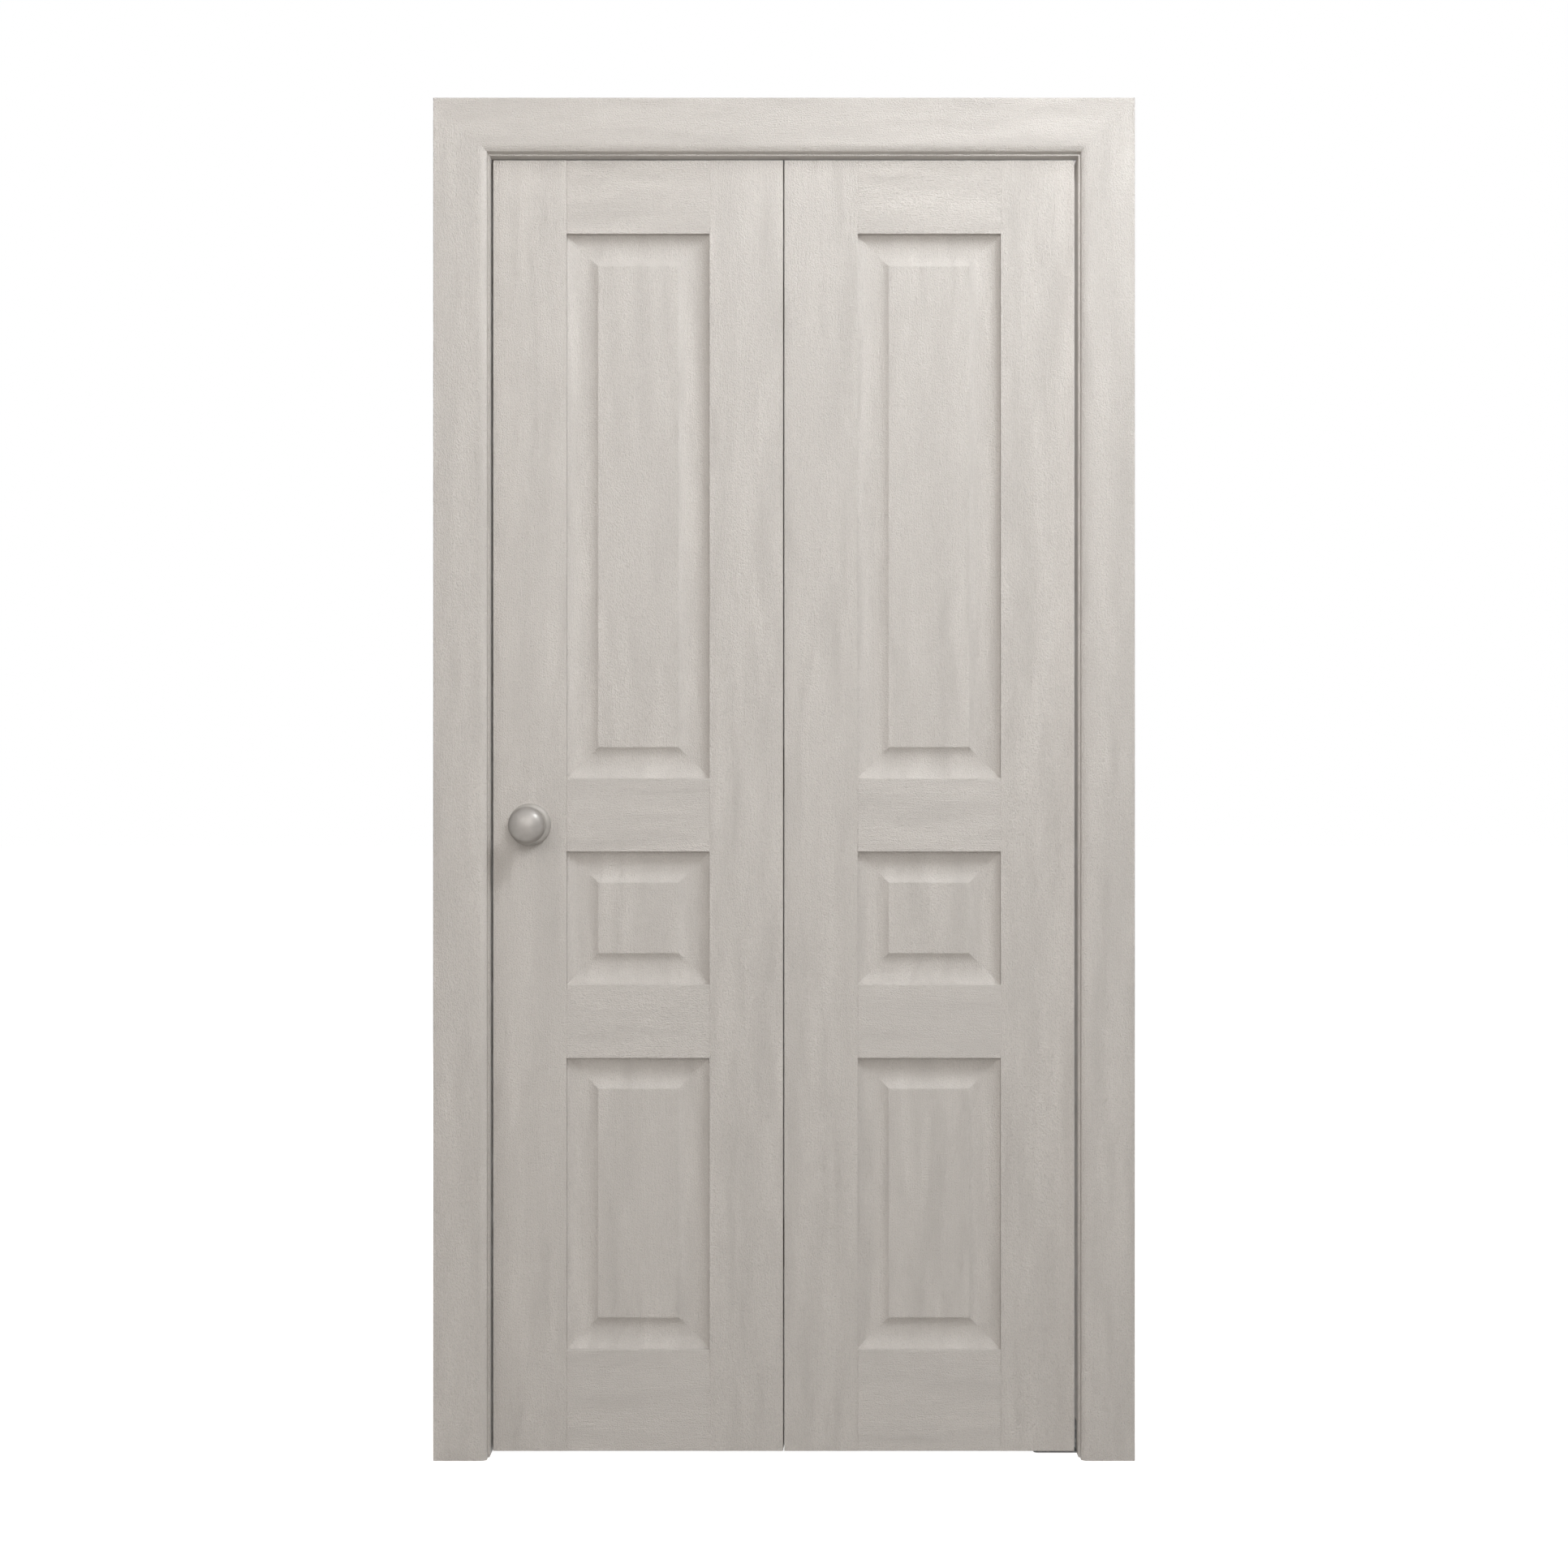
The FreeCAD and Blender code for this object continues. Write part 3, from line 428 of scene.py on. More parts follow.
def shift_grain(piece):
    """Gives a board its own stretch of grain, kept in an attribute."""
    global board_count
    board_count += 1
    shift = BOARD_STEP * board_count
    attribute = piece.data.attributes.new("board_shift", "FLOAT_VECTOR", "POINT")
    for value in attribute.data:
        value.vector = shift


# --- materials ---
def feed(tree, sockets, values):
    """Links each named socket that is given a socket, and sets the others."""
    for name, value in values.items():
        if isinstance(value, bpy.types.NodeSocket):
            tree.links.new(value, sockets[name])
        else:
            sockets[name].default_value = value


def add_node(tree, kind, inputs=(), **settings):
    """One shader node; an input that is given a socket is linked to it."""
    node = tree.nodes.new("ShaderNode" + kind)
    for setting, value in settings.items():
        setattr(node, setting, value)
    feed(tree, node.inputs, dict(inputs))
    return node


def maths(tree, operation, *values):
    """The result of one Math node."""
    return add_node(tree, "Math", dict(enumerate(values)), operation=operation).outputs[0]


def noise(tree, vector, scale, detail=2.0):
    """The value of one Noise Texture."""
    inputs = {"Vector": vector, "Scale": scale, "Detail": detail}
    return add_node(tree, "TexNoise", inputs).outputs["Fac"]


def stretch(tree, x, y, z, width, length_):
    """Coordinates divided by a width across the grain and a length along it."""
    across, through = maths(tree, "DIVIDE", x, width), maths(tree, "DIVIDE", y, width)
    along = maths(tree, "DIVIDE", z, length_)
    return add_node(tree, "CombineXYZ", {0: across, 1: through, 2: along}).outputs[0]


def remap(tree, value, low, high, to_low=0.0, to_high=1.0):
    """A value mapped smoothly from one span to another."""
    inputs = {"Value": value, "From Min": low, "From Max": high, "To Min": to_low, "To Max": to_high}
    return add_node(tree, "MapRange", inputs, interpolation_type="SMOOTHSTEP").outputs["Result"]


def toned(tree, tint, tone):
    """A colour made darker or lighter by a tone."""
    return add_node(tree, "VectorMath", {0: tint, "Scale": tone}, operation="SCALE").outputs[0]


def rgba(values):
    """A colour property with full alpha."""
    return (*values, 1.0)


def new_group(name, inputs, outputs):
    """An empty node group with its sockets; returns it with its input and output nodes."""
    tree = bpy.data.node_groups.new(name, "ShaderNodeTree")
    for label, kind, default in inputs:
        socket = tree.interface.new_socket(label, in_out="INPUT", socket_type="NodeSocket" + kind)
        if default is not None:
            socket.default_value = default
    for label, kind in outputs:
        tree.interface.new_socket(label, in_out="OUTPUT", socket_type="NodeSocket" + kind)
    return tree, tree.nodes.new("NodeGroupInput").outputs, tree.nodes.new("NodeGroupOutput").inputs


def open_grain_group():
    """Open-pored grain that runs along Z: a height and a mask of its pores."""
    tree, given, result = new_group(
        "open_grain",
        [("Vector", "Vector", None), ("Pore Width", "Float", 1.0 * MM),
         ("Pore Length", "Float", 3 * MM), ("Figure Width", "Float", 26 * MM)],
        [("Height", "Float"), ("Pores", "Float")])
    wander_width, wander_length, sway_reach = 60 * MM, 260 * MM, 34 * MM
    ring_slant, figure_length = 0.7, 0.5
    streak_width, streak_length, streak_share = 1.6, 9.0, 0.4
    pore_edge, pore_floor, pore_least, height_least = 0.48, 0.36, 0.85, 0.92
    mean_height = 0.5 + 0.5 * streak_share
    x, y, z = add_node(tree, "SeparateXYZ", {0: given["Vector"]}).outputs
    wander = noise(tree, stretch(tree, x, y, z, wander_width, wander_length), 1.0)
    sway = maths(tree, "MULTIPLY", maths(tree, "SUBTRACT", wander, 0.5), sway_reach)
    x = maths(tree, "ADD", x, sway)
    slope = maths(tree, "ADD", x, maths(tree, "MULTIPLY", y, ring_slant))
    rings = maths(tree, "DIVIDE", slope, given["Figure Width"])
    figure = noise(tree, stretch(tree, rings, y, z, 1.0, figure_length), 1.0)
    figure = remap(tree, figure, 0.35, 0.65)
    wide, long_ = given["Pore Width"], given["Pore Length"]
    tooth = noise(tree, stretch(tree, x, y, z, wide, long_), 1.0)
    streak = noise(tree, stretch(tree, x, y, z, maths(tree, "MULTIPLY", wide, streak_width),
                                 maths(tree, "MULTIPLY", long_, streak_length)), 1.0, 1.0)
    pores = remap(tree, tooth, pore_edge, pore_floor)
    pores = maths(tree, "MULTIPLY", pores, remap(tree, figure, 0.0, 1.0, pore_least, 1.0))
    height = maths(tree, "ADD", tooth, maths(tree, "MULTIPLY", streak, streak_share))
    height = maths(tree, "SUBTRACT", height, mean_height)
    height = maths(tree, "MULTIPLY", height, remap(tree, figure, 0.0, 1.0, height_least, 1.0))
    feed(tree, result, {"Height": height, "Pores": pores})
    return tree


def paint_film_group():
    """Sprayed satin paint: its colour, roughness and the faint peel of its surface, with painted shade in
    the grain's pores and low spots.
    """
    tree, given, result = new_group(
        "paint_film",
        [("Vector", "Vector", None), ("Color", "Color", None), ("Roughness", "Float", 0.42),
         ("Pores", "Float", 0.0), ("Grain", "Float", 0.0)],
        [("Color", "Color"), ("Roughness", "Float"), ("Peel", "Float")])
    cloud_scale, patch_scale, peel_scale = 7.0, 38.0, 620.0
    pore_painted_shade, grain_painted_shade, pore_roughening = 0.05, 0.26, 0.06
    place, pores = given["Vector"], given["Pores"]
    tone = remap(tree, noise(tree, place, cloud_scale, 3.0), 0.25, 0.75, 0.985, 1.015)
    # Painted shade: the colour is darkened in the pores and in the grain's low spots, and lightened on its
    # high spots, standing in for the shading of the grain's relief.
    tone = maths(tree, "SUBTRACT", tone, maths(tree, "MULTIPLY", pores, pore_painted_shade))
    tone = maths(tree, "ADD", tone, maths(tree, "MULTIPLY", given["Grain"], grain_painted_shade))
    uneven = remap(tree, noise(tree, place, patch_scale), 0.3, 0.7, -0.04, 0.05)
    rough = maths(tree, "ADD", given["Roughness"], uneven)
    rough = maths(tree, "ADD", rough, maths(tree, "MULTIPLY", pores, pore_roughening))
    feed(tree, result, {"Color": toned(tree, given["Color"], tone), "Roughness": rough,
                        "Peel": noise(tree, place, peel_scale)})
    return tree


def metal_skin_group():
    """Fine marks of a plated metal skin: tone, roughness and height."""
    tree, given, result = new_group(
        "metal_skin",
        [("Vector", "Vector", None), ("Color", "Color", None), ("Roughness", "Float", 0.35),
         ("Grain", "Float", 2200.0), ("Mottle", "Float", 60.0)],
        [("Color", "Color"), ("Roughness", "Float"), ("Height", "Float")])
    grain = noise(tree, given["Vector"], given["Grain"])
    mottle = noise(tree, given["Vector"], given["Mottle"], 4.0)
    tone = remap(tree, mottle, 0.3, 0.7, 0.93, 1.05)
    rough = maths(tree, "ADD", given["Roughness"], remap(tree, mottle, 0.3, 0.7, 0.04, -0.04))
    feed(tree, result, {"Color": toned(tree, given["Color"], tone), "Roughness": rough,
                        "Height": grain})
    return tree


GROUPS = {"open_grain": open_grain_group, "paint_film": paint_film_group, "metal_skin": metal_skin_group}


def place_group(tree, name, inputs):
    """A node group, built the first time it is asked for, placed with its own values."""
    group = bpy.data.node_groups.get(name) or GROUPS[name]()
    return add_node(tree, "Group", inputs, node_tree=group).outputs


def object_place(tree, level):
    """The surface point shifted board by board, with Z along the grain."""
    place = add_node(tree, "TexCoord").outputs["Object"]
    shift = add_node(tree, "Attribute", attribute_name="board_shift").outputs["Vector"]
    place = add_node(tree, "VectorMath", {0: place, 1: shift}, operation="ADD").outputs[0]
    if not level:
        return place
    x, y, z = add_node(tree, "SeparateXYZ", {0: place}).outputs
    return add_node(tree, "CombineXYZ", {0: z, 1: y, 2: x}).outputs[0]


def new_material(name):
    """A node material, its tree and the inputs of its shader."""
    material = bpy.data.materials.new(name)
    material.use_nodes = True
    tree = material.node_tree
    tree.nodes.clear()
    shader = add_node(tree, "BsdfPrincipled")
    add_node(tree, "OutputMaterial", {"Surface": shader.outputs["BSDF"]})
    return material, tree, shader.inputs


def add_bump(tree, shader, height, distance):
    """Surface relief of a real depth."""
    bump = add_node(tree, "Bump", {"Strength": 1.0, "Distance": distance, "Height": height})
    tree.links.new(bump.outputs["Normal"], shader["Normal"])


def painted_timber(name, level):
    """Satin paint over open-pored timber, its grain upright or level, with the grain's shade painted into
    the paint's colour.
    """
    look = finishes()
    material, tree, shader = new_material(name)
    place = object_place(tree, level)
    grain = place_group(tree, "open_grain", {
        "Vector": place, "Pore Width": look.pore_width, "Pore Length": look.pore_length,
        "Figure Width": look.figure_width})
    # The pores and the grain's height darken the paint's colour here: painted shade of the grain's relief,
    # on top of its bump.
    film = place_group(tree, "paint_film", {
        "Vector": place, "Color": rgba(look.paint), "Roughness": look.paint_roughness,
        "Pores": grain["Pores"], "Grain": grain["Height"]})
    peel_share = 0.12
    height = maths(tree, "ADD", grain["Height"], maths(tree, "MULTIPLY", film["Peel"], peel_share))
    feed(tree, shader, {"Base Color": film["Color"], "Roughness": film["Roughness"]})
    add_bump(tree, shader, height, look.pore_depth)
    return material


def bare_timber(name, level):
    """Planed pine with its rings, on faces that meet the wall or stay in a joint."""
    look = finishes()
    material, tree, shader = new_material(name)
    place = object_place(tree, level)
    grain = place_group(tree, "open_grain", {
        "Vector": place, "Pore Width": 0.8 * MM, "Pore Length": 30 * MM, "Figure Width": 9 * MM})
    ring_tone, planed_roughness, planed_depth = 0.72, 0.68, 0.05 * MM
    light, dark = rgba(look.bare_timber), rgba([value * ring_tone for value in look.bare_timber])
    ring = remap(tree, grain["Height"], -0.3, 0.15)
    tint = add_node(tree, "Mix", {0: ring, 6: dark, 7: light}, data_type="RGBA").outputs[2]
    feed(tree, shader, {"Base Color": tint, "Roughness": planed_roughness})
    add_bump(tree, shader, grain["Height"], planed_depth)
    return material


def plated_metal(name, tint, roughness, metallic=1.0, mottle=60.0, lacquer=0.0):
    """A plated metal with fine grain and slight mottling, bare or under clear lacquer."""
    material, tree, shader = new_material(name)
    place = add_node(tree, "TexCoord").outputs["Object"]
    skin = place_group(tree, "metal_skin", {
        "Vector": place, "Color": rgba(getattr(finishes(), tint)), "Roughness": roughness,
        "Mottle": mottle})
    lacquer_roughness, grain_depth = 0.12, 0.004 * MM
    feed(tree, shader, {"Base Color": skin["Color"], "Roughness": skin["Roughness"], "Metallic": metallic,
                        "Coat Weight": lacquer, "Coat Roughness": lacquer_roughness})
    add_bump(tree, shader, skin["Height"], grain_depth)
    return material


def moulded_nylon(name):
    """Natural nylon with a faint moulded grain."""
    nylon_roughness, see_into, see_depth, mould_depth = 0.5, 0.15, 1.5 * MM, 0.03 * MM
    material, tree, shader = new_material(name)
    place = add_node(tree, "TexCoord").outputs["Object"]
    film = place_group(tree, "paint_film", {
        "Vector": place, "Color": rgba(finishes().nylon), "Roughness": nylon_roughness})
    feed(tree, shader, {"Base Color": film["Color"], "Roughness": film["Roughness"],
                        "Subsurface Weight": see_into, "Subsurface Scale": see_depth})
    add_bump(tree, shader, film["Peel"], mould_depth)
    return material


FINISHES = {
    # name: how it is built, and what it is built with
    "painted_upright": (painted_timber, {"level": False}),
    "painted_level": (painted_timber, {"level": True}),
    "bare_upright": (bare_timber, {"level": False}),
    "bare_level": (bare_timber, {"level": True}),
    "lacquered_nickel": (plated_metal, {"tint": "nickel", "roughness": 0.46, "metallic": 0.35,
                                        "lacquer": 0.25}),
    "brushed_nickel": (plated_metal, {"tint": "rose", "roughness": 0.6, "metallic": 0.2}),
    "zinc_plate": (plated_metal, {"tint": "zinc", "roughness": 0.42, "mottle": 140.0}),
    # Dark zinc for the bottom bracket: painted shade, so that the bracket reads as the shaded gap under the
    # leaf.
    "dull_zinc_plate": (plated_metal, {"tint": "dull_zinc", "roughness": 0.55, "mottle": 140.0}),
    "spring_wire": (plated_metal, {"tint": "spring", "roughness": 0.3}),
    "moulded_nylon": (moulded_nylon, {}),
}


def finish(name):
    """A finish by name, built the first time it is asked for."""
    build, settings = FINISHES[name]
    return bpy.data.materials.get(name) or build(name, **settings)


def dress_node(node, material_name):
    """Gives a CAD node that keeps its own shape a finish."""
    for slot in frame["nodes"][node].material_slots:
        slot.material = finish(material_name)


# --- painted boards ---
def dress_board(piece, node, grain, is_bare=None):
    """Puts a painted board in place, with bare timber on the faces that pass a test."""
    smooth(piece)
    shift_grain(piece)
    timber = ["painted_" + grain] + (["bare_" + grain] if is_bare else [])
    stand_for(piece, node, "painted_wood", *timber)
    for face in piece.data.polygons if is_bare else ():
        if is_bare(face.center, face.normal):
            face.material_index = 1


def trim(piece, corner, away):
    """Cuts a piece off at a plane through a corner; away points at the waste."""
    with editing(piece, whole=True):
        bpy.ops.mesh.bisect(plane_co=corner, plane_no=away, use_fill=True, clear_outer=True)
        bpy.ops.mesh.select_all(action="SELECT")
        bpy.ops.mesh.fill_holes(sides=0)


def casing_board(node, inward):
    """A straight length of casing, its face curved towards the opening that inward points at."""
    size = sizes()
    low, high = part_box(node)
    inward = Vector(inward)
    front, wall = low.y, high.y
    outer, inner = sorted((low.dot(inward), high.dot(inward)))
    run, rise = size.casing_round_width, size.casing_round_depth
    radius = (run * run + rise * rise) / (2 * rise)
    round_steps, outer_steps, arris_steps = 32, 4, 3
    over = inward * (radius - run)
    start = [min(low[i], low[i] + over[i]) for i in range(3)]
    end = [max(high[i], high[i] + over[i]) for i in range(3)]
    end[1] = front + radius + size.casing_outer_round
    piece = add_box("painted_" + node, start, end)

    def round_arris(place, y, offset, segments):
        round_edges(piece, offset, segments, lambda a, b: all(
            near(point.dot(inward), place) and near(point.y, y, ON_CURVE) for point in (a, b)))

    round_arris(inner + radius - run, front, radius, round_steps)
    round_arris(outer, front, size.casing_outer_round, outer_steps)
    trim(piece, inward * inner, inward)
    round_arris(inner, front + rise, size.casing_arris, arris_steps)
    trim(piece, (0.0, wall, 0.0), (0.0, 1.0, 0.0))
    return piece


def pocket(radius, start, end):
    """A cutter for a round hole between two points that differ along one axis."""
    start, end = Vector(start), Vector(end)
    axis = end - start
    bpy.ops.object.select_all(action="DESELECT")
    bpy.ops.mesh.primitive_cylinder_add(
        vertices=BORE_SIDES, radius=radius, depth=axis.length, location=(start + end) / 2,
        rotation=axis.to_track_quat("Z", "Y").to_euler())
    settle()
    return bpy.context.object


def socket_pockets(node, way):
    """Cutters for a socket's body and its let-in flange, at a stile's top (1) or foot (-1)."""
    flange_play, flange_depth, body_share = 0.1 * MM, 1.5 * MM, 0.71
    low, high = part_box(node)
    x, y = (low.x + high.x) / 2, (low.y + high.y) / 2
    flange_radius = (high.x - low.x) / 2 + flange_play
    mouth, far = (high.z, low.z) if way > 0 else (low.z, high.z)
    seat = mouth - way * flange_depth
    return [pocket(body_share * flange_radius, (x, y, (mouth + seat) / 2), (x, y, far)),
            pocket(flange_radius, (x, y, mouth + way * OVERCUT), (x, y, seat))]


def wheel_pocket(top):
    """A cutter that lets the guide wheel drop into its stile when it is pushed down."""
    wheel_play = 1.2 * MM
    low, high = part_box("guide_wheel")
    x, y = (low.x + high.x) / 2, (low.y + high.y) / 2
    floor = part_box("guide_socket")[1].z
    return pocket((high.x - low.x) / 2 + wheel_play, (x, y, top + OVERCUT), (x, y, floor))


def dowel_bores(leaf):
    """One cutter with the holes of all the leaf's dowels."""
    size = sizes()
    rods = []
    for x in (leaf.low_joint, leaf.high_joint):
        for name in Leaf.RAILS:
            low, high = leaf.rail_heights(name)
            for z in (low + size.dowel_inset, high - size.dowel_inset):
                start = (x - size.dowel_length / 2, leaf.middle, z)
                end = (x + size.dowel_length / 2, leaf.middle, z)
                rods.append(pocket(size.dowel_bore, start, end))
    return join("dowel_bores", rods)


def stile_blank(leaf):
    """A square-edged upright at a leaf's left side, grooved and bored where rails meet it."""
    size = sizes()
    low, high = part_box(f"{leaf.side}_outer_stile")
    joint, reach, half = high.x, size.groove_depth, size.groove_width / 2
    piece = add_box("stile_blank", low, high)
    round_edges(piece, size.joint_bevel, 2, lambda a, b: near(a.x, joint) and near(b.x, joint)
                and near(a.y, b.y))
    groove = add_box("groove", (joint - reach, leaf.middle - half, leaf.foot - reach),
                     (joint + reach, leaf.middle + half, leaf.top + reach))
    cut(piece, groove, dowel_bores(leaf))
    return piece


def stile_board(blank, leaf, which):
    """The blank put in one stile's place, its outer edge slanted where two leaves meet."""
    size = sizes()
    node = f"{leaf.side}_{which}_stile"
    name = "painted_" + node
    first = leaves["left"]
    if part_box(node)[1].x < leaf.centre:
        joint, inward = leaf.low_joint, -1
        piece = moved_copy(blank, name, (joint - first.low_joint, 0.0, 0.0))
    else:
        joint, inward = leaf.high_joint, 1
        piece = turned_copy(blank, name, ((joint + first.low_joint) / 2, leaf.middle, 0.0))
    edge = joint + inward * (first.low_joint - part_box("left_outer_stile")[0].x)
    if which == "meeting":
        with editing(piece, "EDGE"):
            pick_edges(piece, lambda a, b: near(a.x, edge) and near(b.x, edge) and near(a.y, leaf.back)
                       and near(b.y, leaf.back))
            bpy.ops.transform.translate(value=(size.meeting_bevel, 0.0, 0.0))
    reach = size.meeting_bevel + SAME_PLACE
    round_edges(piece, size.leaf_edge, 3, lambda a, b: near(a.x, edge, reach) and runs_along(a, b, 2))
    return piece, node


def rail_board(leaf, name):
    """A cross member with bevelled ends, stub tenons and grooves for its panels."""
    size = sizes()
    low, high = leaf.rail_heights(name)
    piece = add_box(name, (leaf.low_joint, leaf.front, low), (leaf.high_joint, leaf.back, high))
    round_edges(piece, size.joint_bevel, 1, lambda a, b: runs_along(a, b, 2))
    round_edges(piece, size.opening_edge, 4, lambda a, b: runs_along(a, b, 0)
                and (near(a.y, leaf.front) or near(a.y, leaf.back)))
    tongue = size.tenon_thickness / 2
    reach = size.tenon_length
    tenon = add_box("tenon", (leaf.low_joint - reach, leaf.middle - tongue, low),
                    (leaf.high_joint + reach, leaf.middle + tongue, high))
    combine(piece, tenon, "UNION")
    half = size.groove_width / 2
    for is_there, z in ((name != "bottom_rail", low), (name != "top_rail", high)):
        if is_there:
            start = (leaf.low_joint - 2 * reach, leaf.middle - half, z - size.groove_depth)
            end = (leaf.high_joint + 2 * reach, leaf.middle + half, z + size.groove_depth)
            cut(piece, add_box("groove", start, end))
    cut(piece, dowel_bores(leaf))
    return piece


def level_arc(start, end, steps):
    """Points of an arc that leaves its start level and climbs to its end."""
    run, rise = end[0] - start[0], end[1] - start[1]
    radius = (run * run + rise * rise) / (2 * abs(rise))
    sweep = math.asin(abs(run) / radius)
    turns = [sweep * i / steps for i in range(steps + 1)]
    return [(start[0] + math.copysign(radius * math.sin(turn), run),
             start[1] + math.copysign(radius * (1 - math.cos(turn)), rise)) for turn in turns]


def scoop_outline(half):
    """The margin of a raised panel as (distance from the frame, height over the middle)."""
    size = sizes()
    cove_steps, rise_steps = 12, 10
    bottom = half - size.scoop_depth
    cove_foot = (size.cove_width, bottom)
    rise_foot = (size.cove_width + size.scoop_flat, bottom)
    cove = level_arc(cove_foot, (size.panel_play, half - size.quirk_depth), cove_steps)
    rise = level_arc(rise_foot, (size.field_margin, half - size.field_depth), rise_steps)
    return cove[::-1] + rise


def panel_board(leaf, name):
    """A raised panel: a tongue all round, then both faces inset along the scoop."""
    size = sizes()
    low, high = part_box(f"{leaf.side}_{name}")
    half = (leaf.back - leaf.front) / 2
    tongue = size.tenon_thickness / 2
    outline = scoop_outline(half)
    piece = add_box(name, (low.x, leaf.middle - tongue, low.z), (high.x, leaf.middle + tongue, high.z))
    for way in (-1, 1):
        with editing(piece):
            pick_faces(piece, lambda centre, normal: normal.y * way > FACING)
            bpy.ops.mesh.inset(thickness=size.panel_tongue + size.panel_play, depth=0.0)
            step = outline[0][1] - tongue
            bpy.ops.mesh.extrude_region_move(TRANSFORM_OT_translate={"value": (0.0, way * step, 0.0)})
            for here, there in zip(outline, outline[1:]):
                bpy.ops.mesh.inset(thickness=there[0] - here[0], depth=there[1] - here[1])
    field = leaf.middle - half + size.field_depth, leaf.middle + half - size.field_depth
    round_edges(piece, size.field_edge, 3, lambda a, b: any(near(a.y, y) and near(b.y, y) for y in field))
    with editing(piece, "EDGE"):
        pick_edges(piece, lambda a, b: not near(a.x, b.x, ON_CURVE) and not near(a.z, b.z, ON_CURVE))
        bpy.ops.mesh.mark_sharp()
    return piece


class DOOR_OT_casing(bpy.types.Operator):
    """Build the two legs and the head of the casing"""

    bl_idname = "door.casing"
    bl_label = "Casing"

    def execute(self, context):
        inner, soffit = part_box("casing_left")[1].x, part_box("casing_head")[0].z
        leg = casing_board("casing_left", (1.0, 0.0, 0.0))
        trim(leg, (inner, 0.0, soffit), Vector((1.0, 0.0, 1.0)).normalized())
        other_leg = mirrored_copy(leg, "painted_casing_right")
        head = casing_board("casing_head", (0.0, 0.0, -1.0))
        for side in (-1, 1):
            trim(head, (side * -inner, 0.0, soffit), Vector((side, 0.0, -1.0)).normalized())
        for piece, node, grain in ((leg, "casing_left", "upright"), (other_leg, "casing_right", "upright"),
                                   (head, "casing_head", "level")):
            ease(piece, sizes().board_edge)
            close_slivers(piece)
            dress_board(piece, node, grain, lambda centre, normal: normal.y > SQUARE_ON)
        return {"FINISHED"}


class DOOR_OT_stiles(bpy.types.Operator):
    """Build one grooved and bored stile and fit its copies to the two leaves"""

    bl_idname = "door.stiles"
    bl_label = "Stiles"

    def execute(self, context):
        blank = stile_blank(leaves["left"])
        for leaf in leaves.values():
            for which in ("outer", "meeting"):
                piece, node = stile_board(blank, leaf, which)
                if node == "right_outer_stile":
                    cut(piece, *socket_pockets("top_pivot_socket", 1))
                    cut(piece, *socket_pockets("bottom_pivot_socket", -1))
                if node == "left_outer_stile":
                    cut(piece, wheel_pocket(leaf.top), *socket_pockets("guide_socket", 1))
                dress_board(piece, node, "upright")
        bpy.data.objects.remove(blank)
        return {"FINISHED"}


class DOOR_OT_rails(bpy.types.Operator):
    """Build the three kinds of rail and copy them to the two leaves"""

    bl_idname = "door.rails"
    bl_label = "Rails"

    def execute(self, context):
        for name, places in (("bottom_rail", ("bottom_rail",)), ("top_rail", ("top_rail",)),
                             ("lower_lock_rail", ("lower_lock_rail", "upper_lock_rail"))):
            model = rail_board(leaves["left"], name)
            nodes = [f"{side}_{place}" for side in leaves for place in places]
            for piece, node in copies_for(model, "left_" + name, "painted_", nodes):
                dress_board(piece, node, "level")
        return {"FINISHED"}


class DOOR_OT_panels(bpy.types.Operator):
    """Build the three raised panels and copy them to the other leaf"""

    bl_idname = "door.panels"
    bl_label = "Raised panels"

    def execute(self, context):
        for name in Leaf.PANELS:
            model = panel_board(leaves["left"], name)
            nodes = [f"{side}_{name}" for side in leaves]
            for piece, node in copies_for(model, "left_" + name, "painted_", nodes):
                dress_board(piece, node, "upright")
        return {"FINISHED"}


class DOOR_OT_jambs(bpy.types.Operator):
    """Ease and paint the jambs, bare where they meet the wall"""

    bl_idname = "door.jambs"
    bl_label = "Jambs"

    def execute(self, context):
        for node, grain, end, axis in (("jamb_left", "upright", 0, 0), ("jamb_right", "upright", 1, 0),
                                       ("jamb_head", "level", 1, 2)):
            piece = merged_copy(node, "painted_" + node)
            ease(piece, sizes().board_edge)
            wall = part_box(node)[end][axis]
            dress_board(piece, node, grain, lambda centre, normal: abs(normal[axis]) > FACING
                        and near(centre[axis], wall, 1 * MM))
        return {"FINISHED"}


# --- hardware ---
def solids_of(piece):
    """The (lowest, highest) corners of each loose solid of a merged mesh."""
    mesh = bmesh.new()
    mesh.from_mesh(piece.data)
    unseen = set(mesh.verts)
    boxes = []
    while unseen:
        reached = [unseen.pop()]
        points = []
        while reached:
            vertex = reached.pop()
            points.append(vertex.co.copy())
            for edge in vertex.link_edges:
                other = edge.other_vert(vertex)
                if other in unseen:
                    unseen.remove(other)
                    reached.append(other)
        low = Vector([min(point[i] for point in points) for i in range(3)])
        high = Vector([max(point[i] for point in points) for i in range(3)])
        boxes.append((low, high))
    mesh.free()
    return sorted(boxes, key=lambda box: tuple(round(value, 5) for value in box[0]))


def cross_cutter(head, way, radius, depth):
    """A tapered cross that cuts a screw's driver recess."""
    width, taper = 0.42 * radius, (0.55, 0.7, 1.0)
    corner = Vector((radius, width / 2, depth))
    bars = []
    for bar_turn in (0.0, math.pi / 2):
        bar = add_box("bar", -corner, corner)
        with editing(bar):
            pick_faces(bar, lambda centre, normal: normal.z > FACING)
            bpy.ops.transform.resize(value=taper, center_override=(0.0, 0.0, depth))
        bar.rotation_euler = (0.0, 0.0, bar_turn)
        settle()
        bars.append(bar)
    cutter, crossing = bars
    combine(cutter, crossing, "UNION")
    cutter.rotation_euler = Vector(way).to_track_quat("Z", "Y").to_euler()
    cutter.location = head
    only(cutter)
    settle()
    return cutter


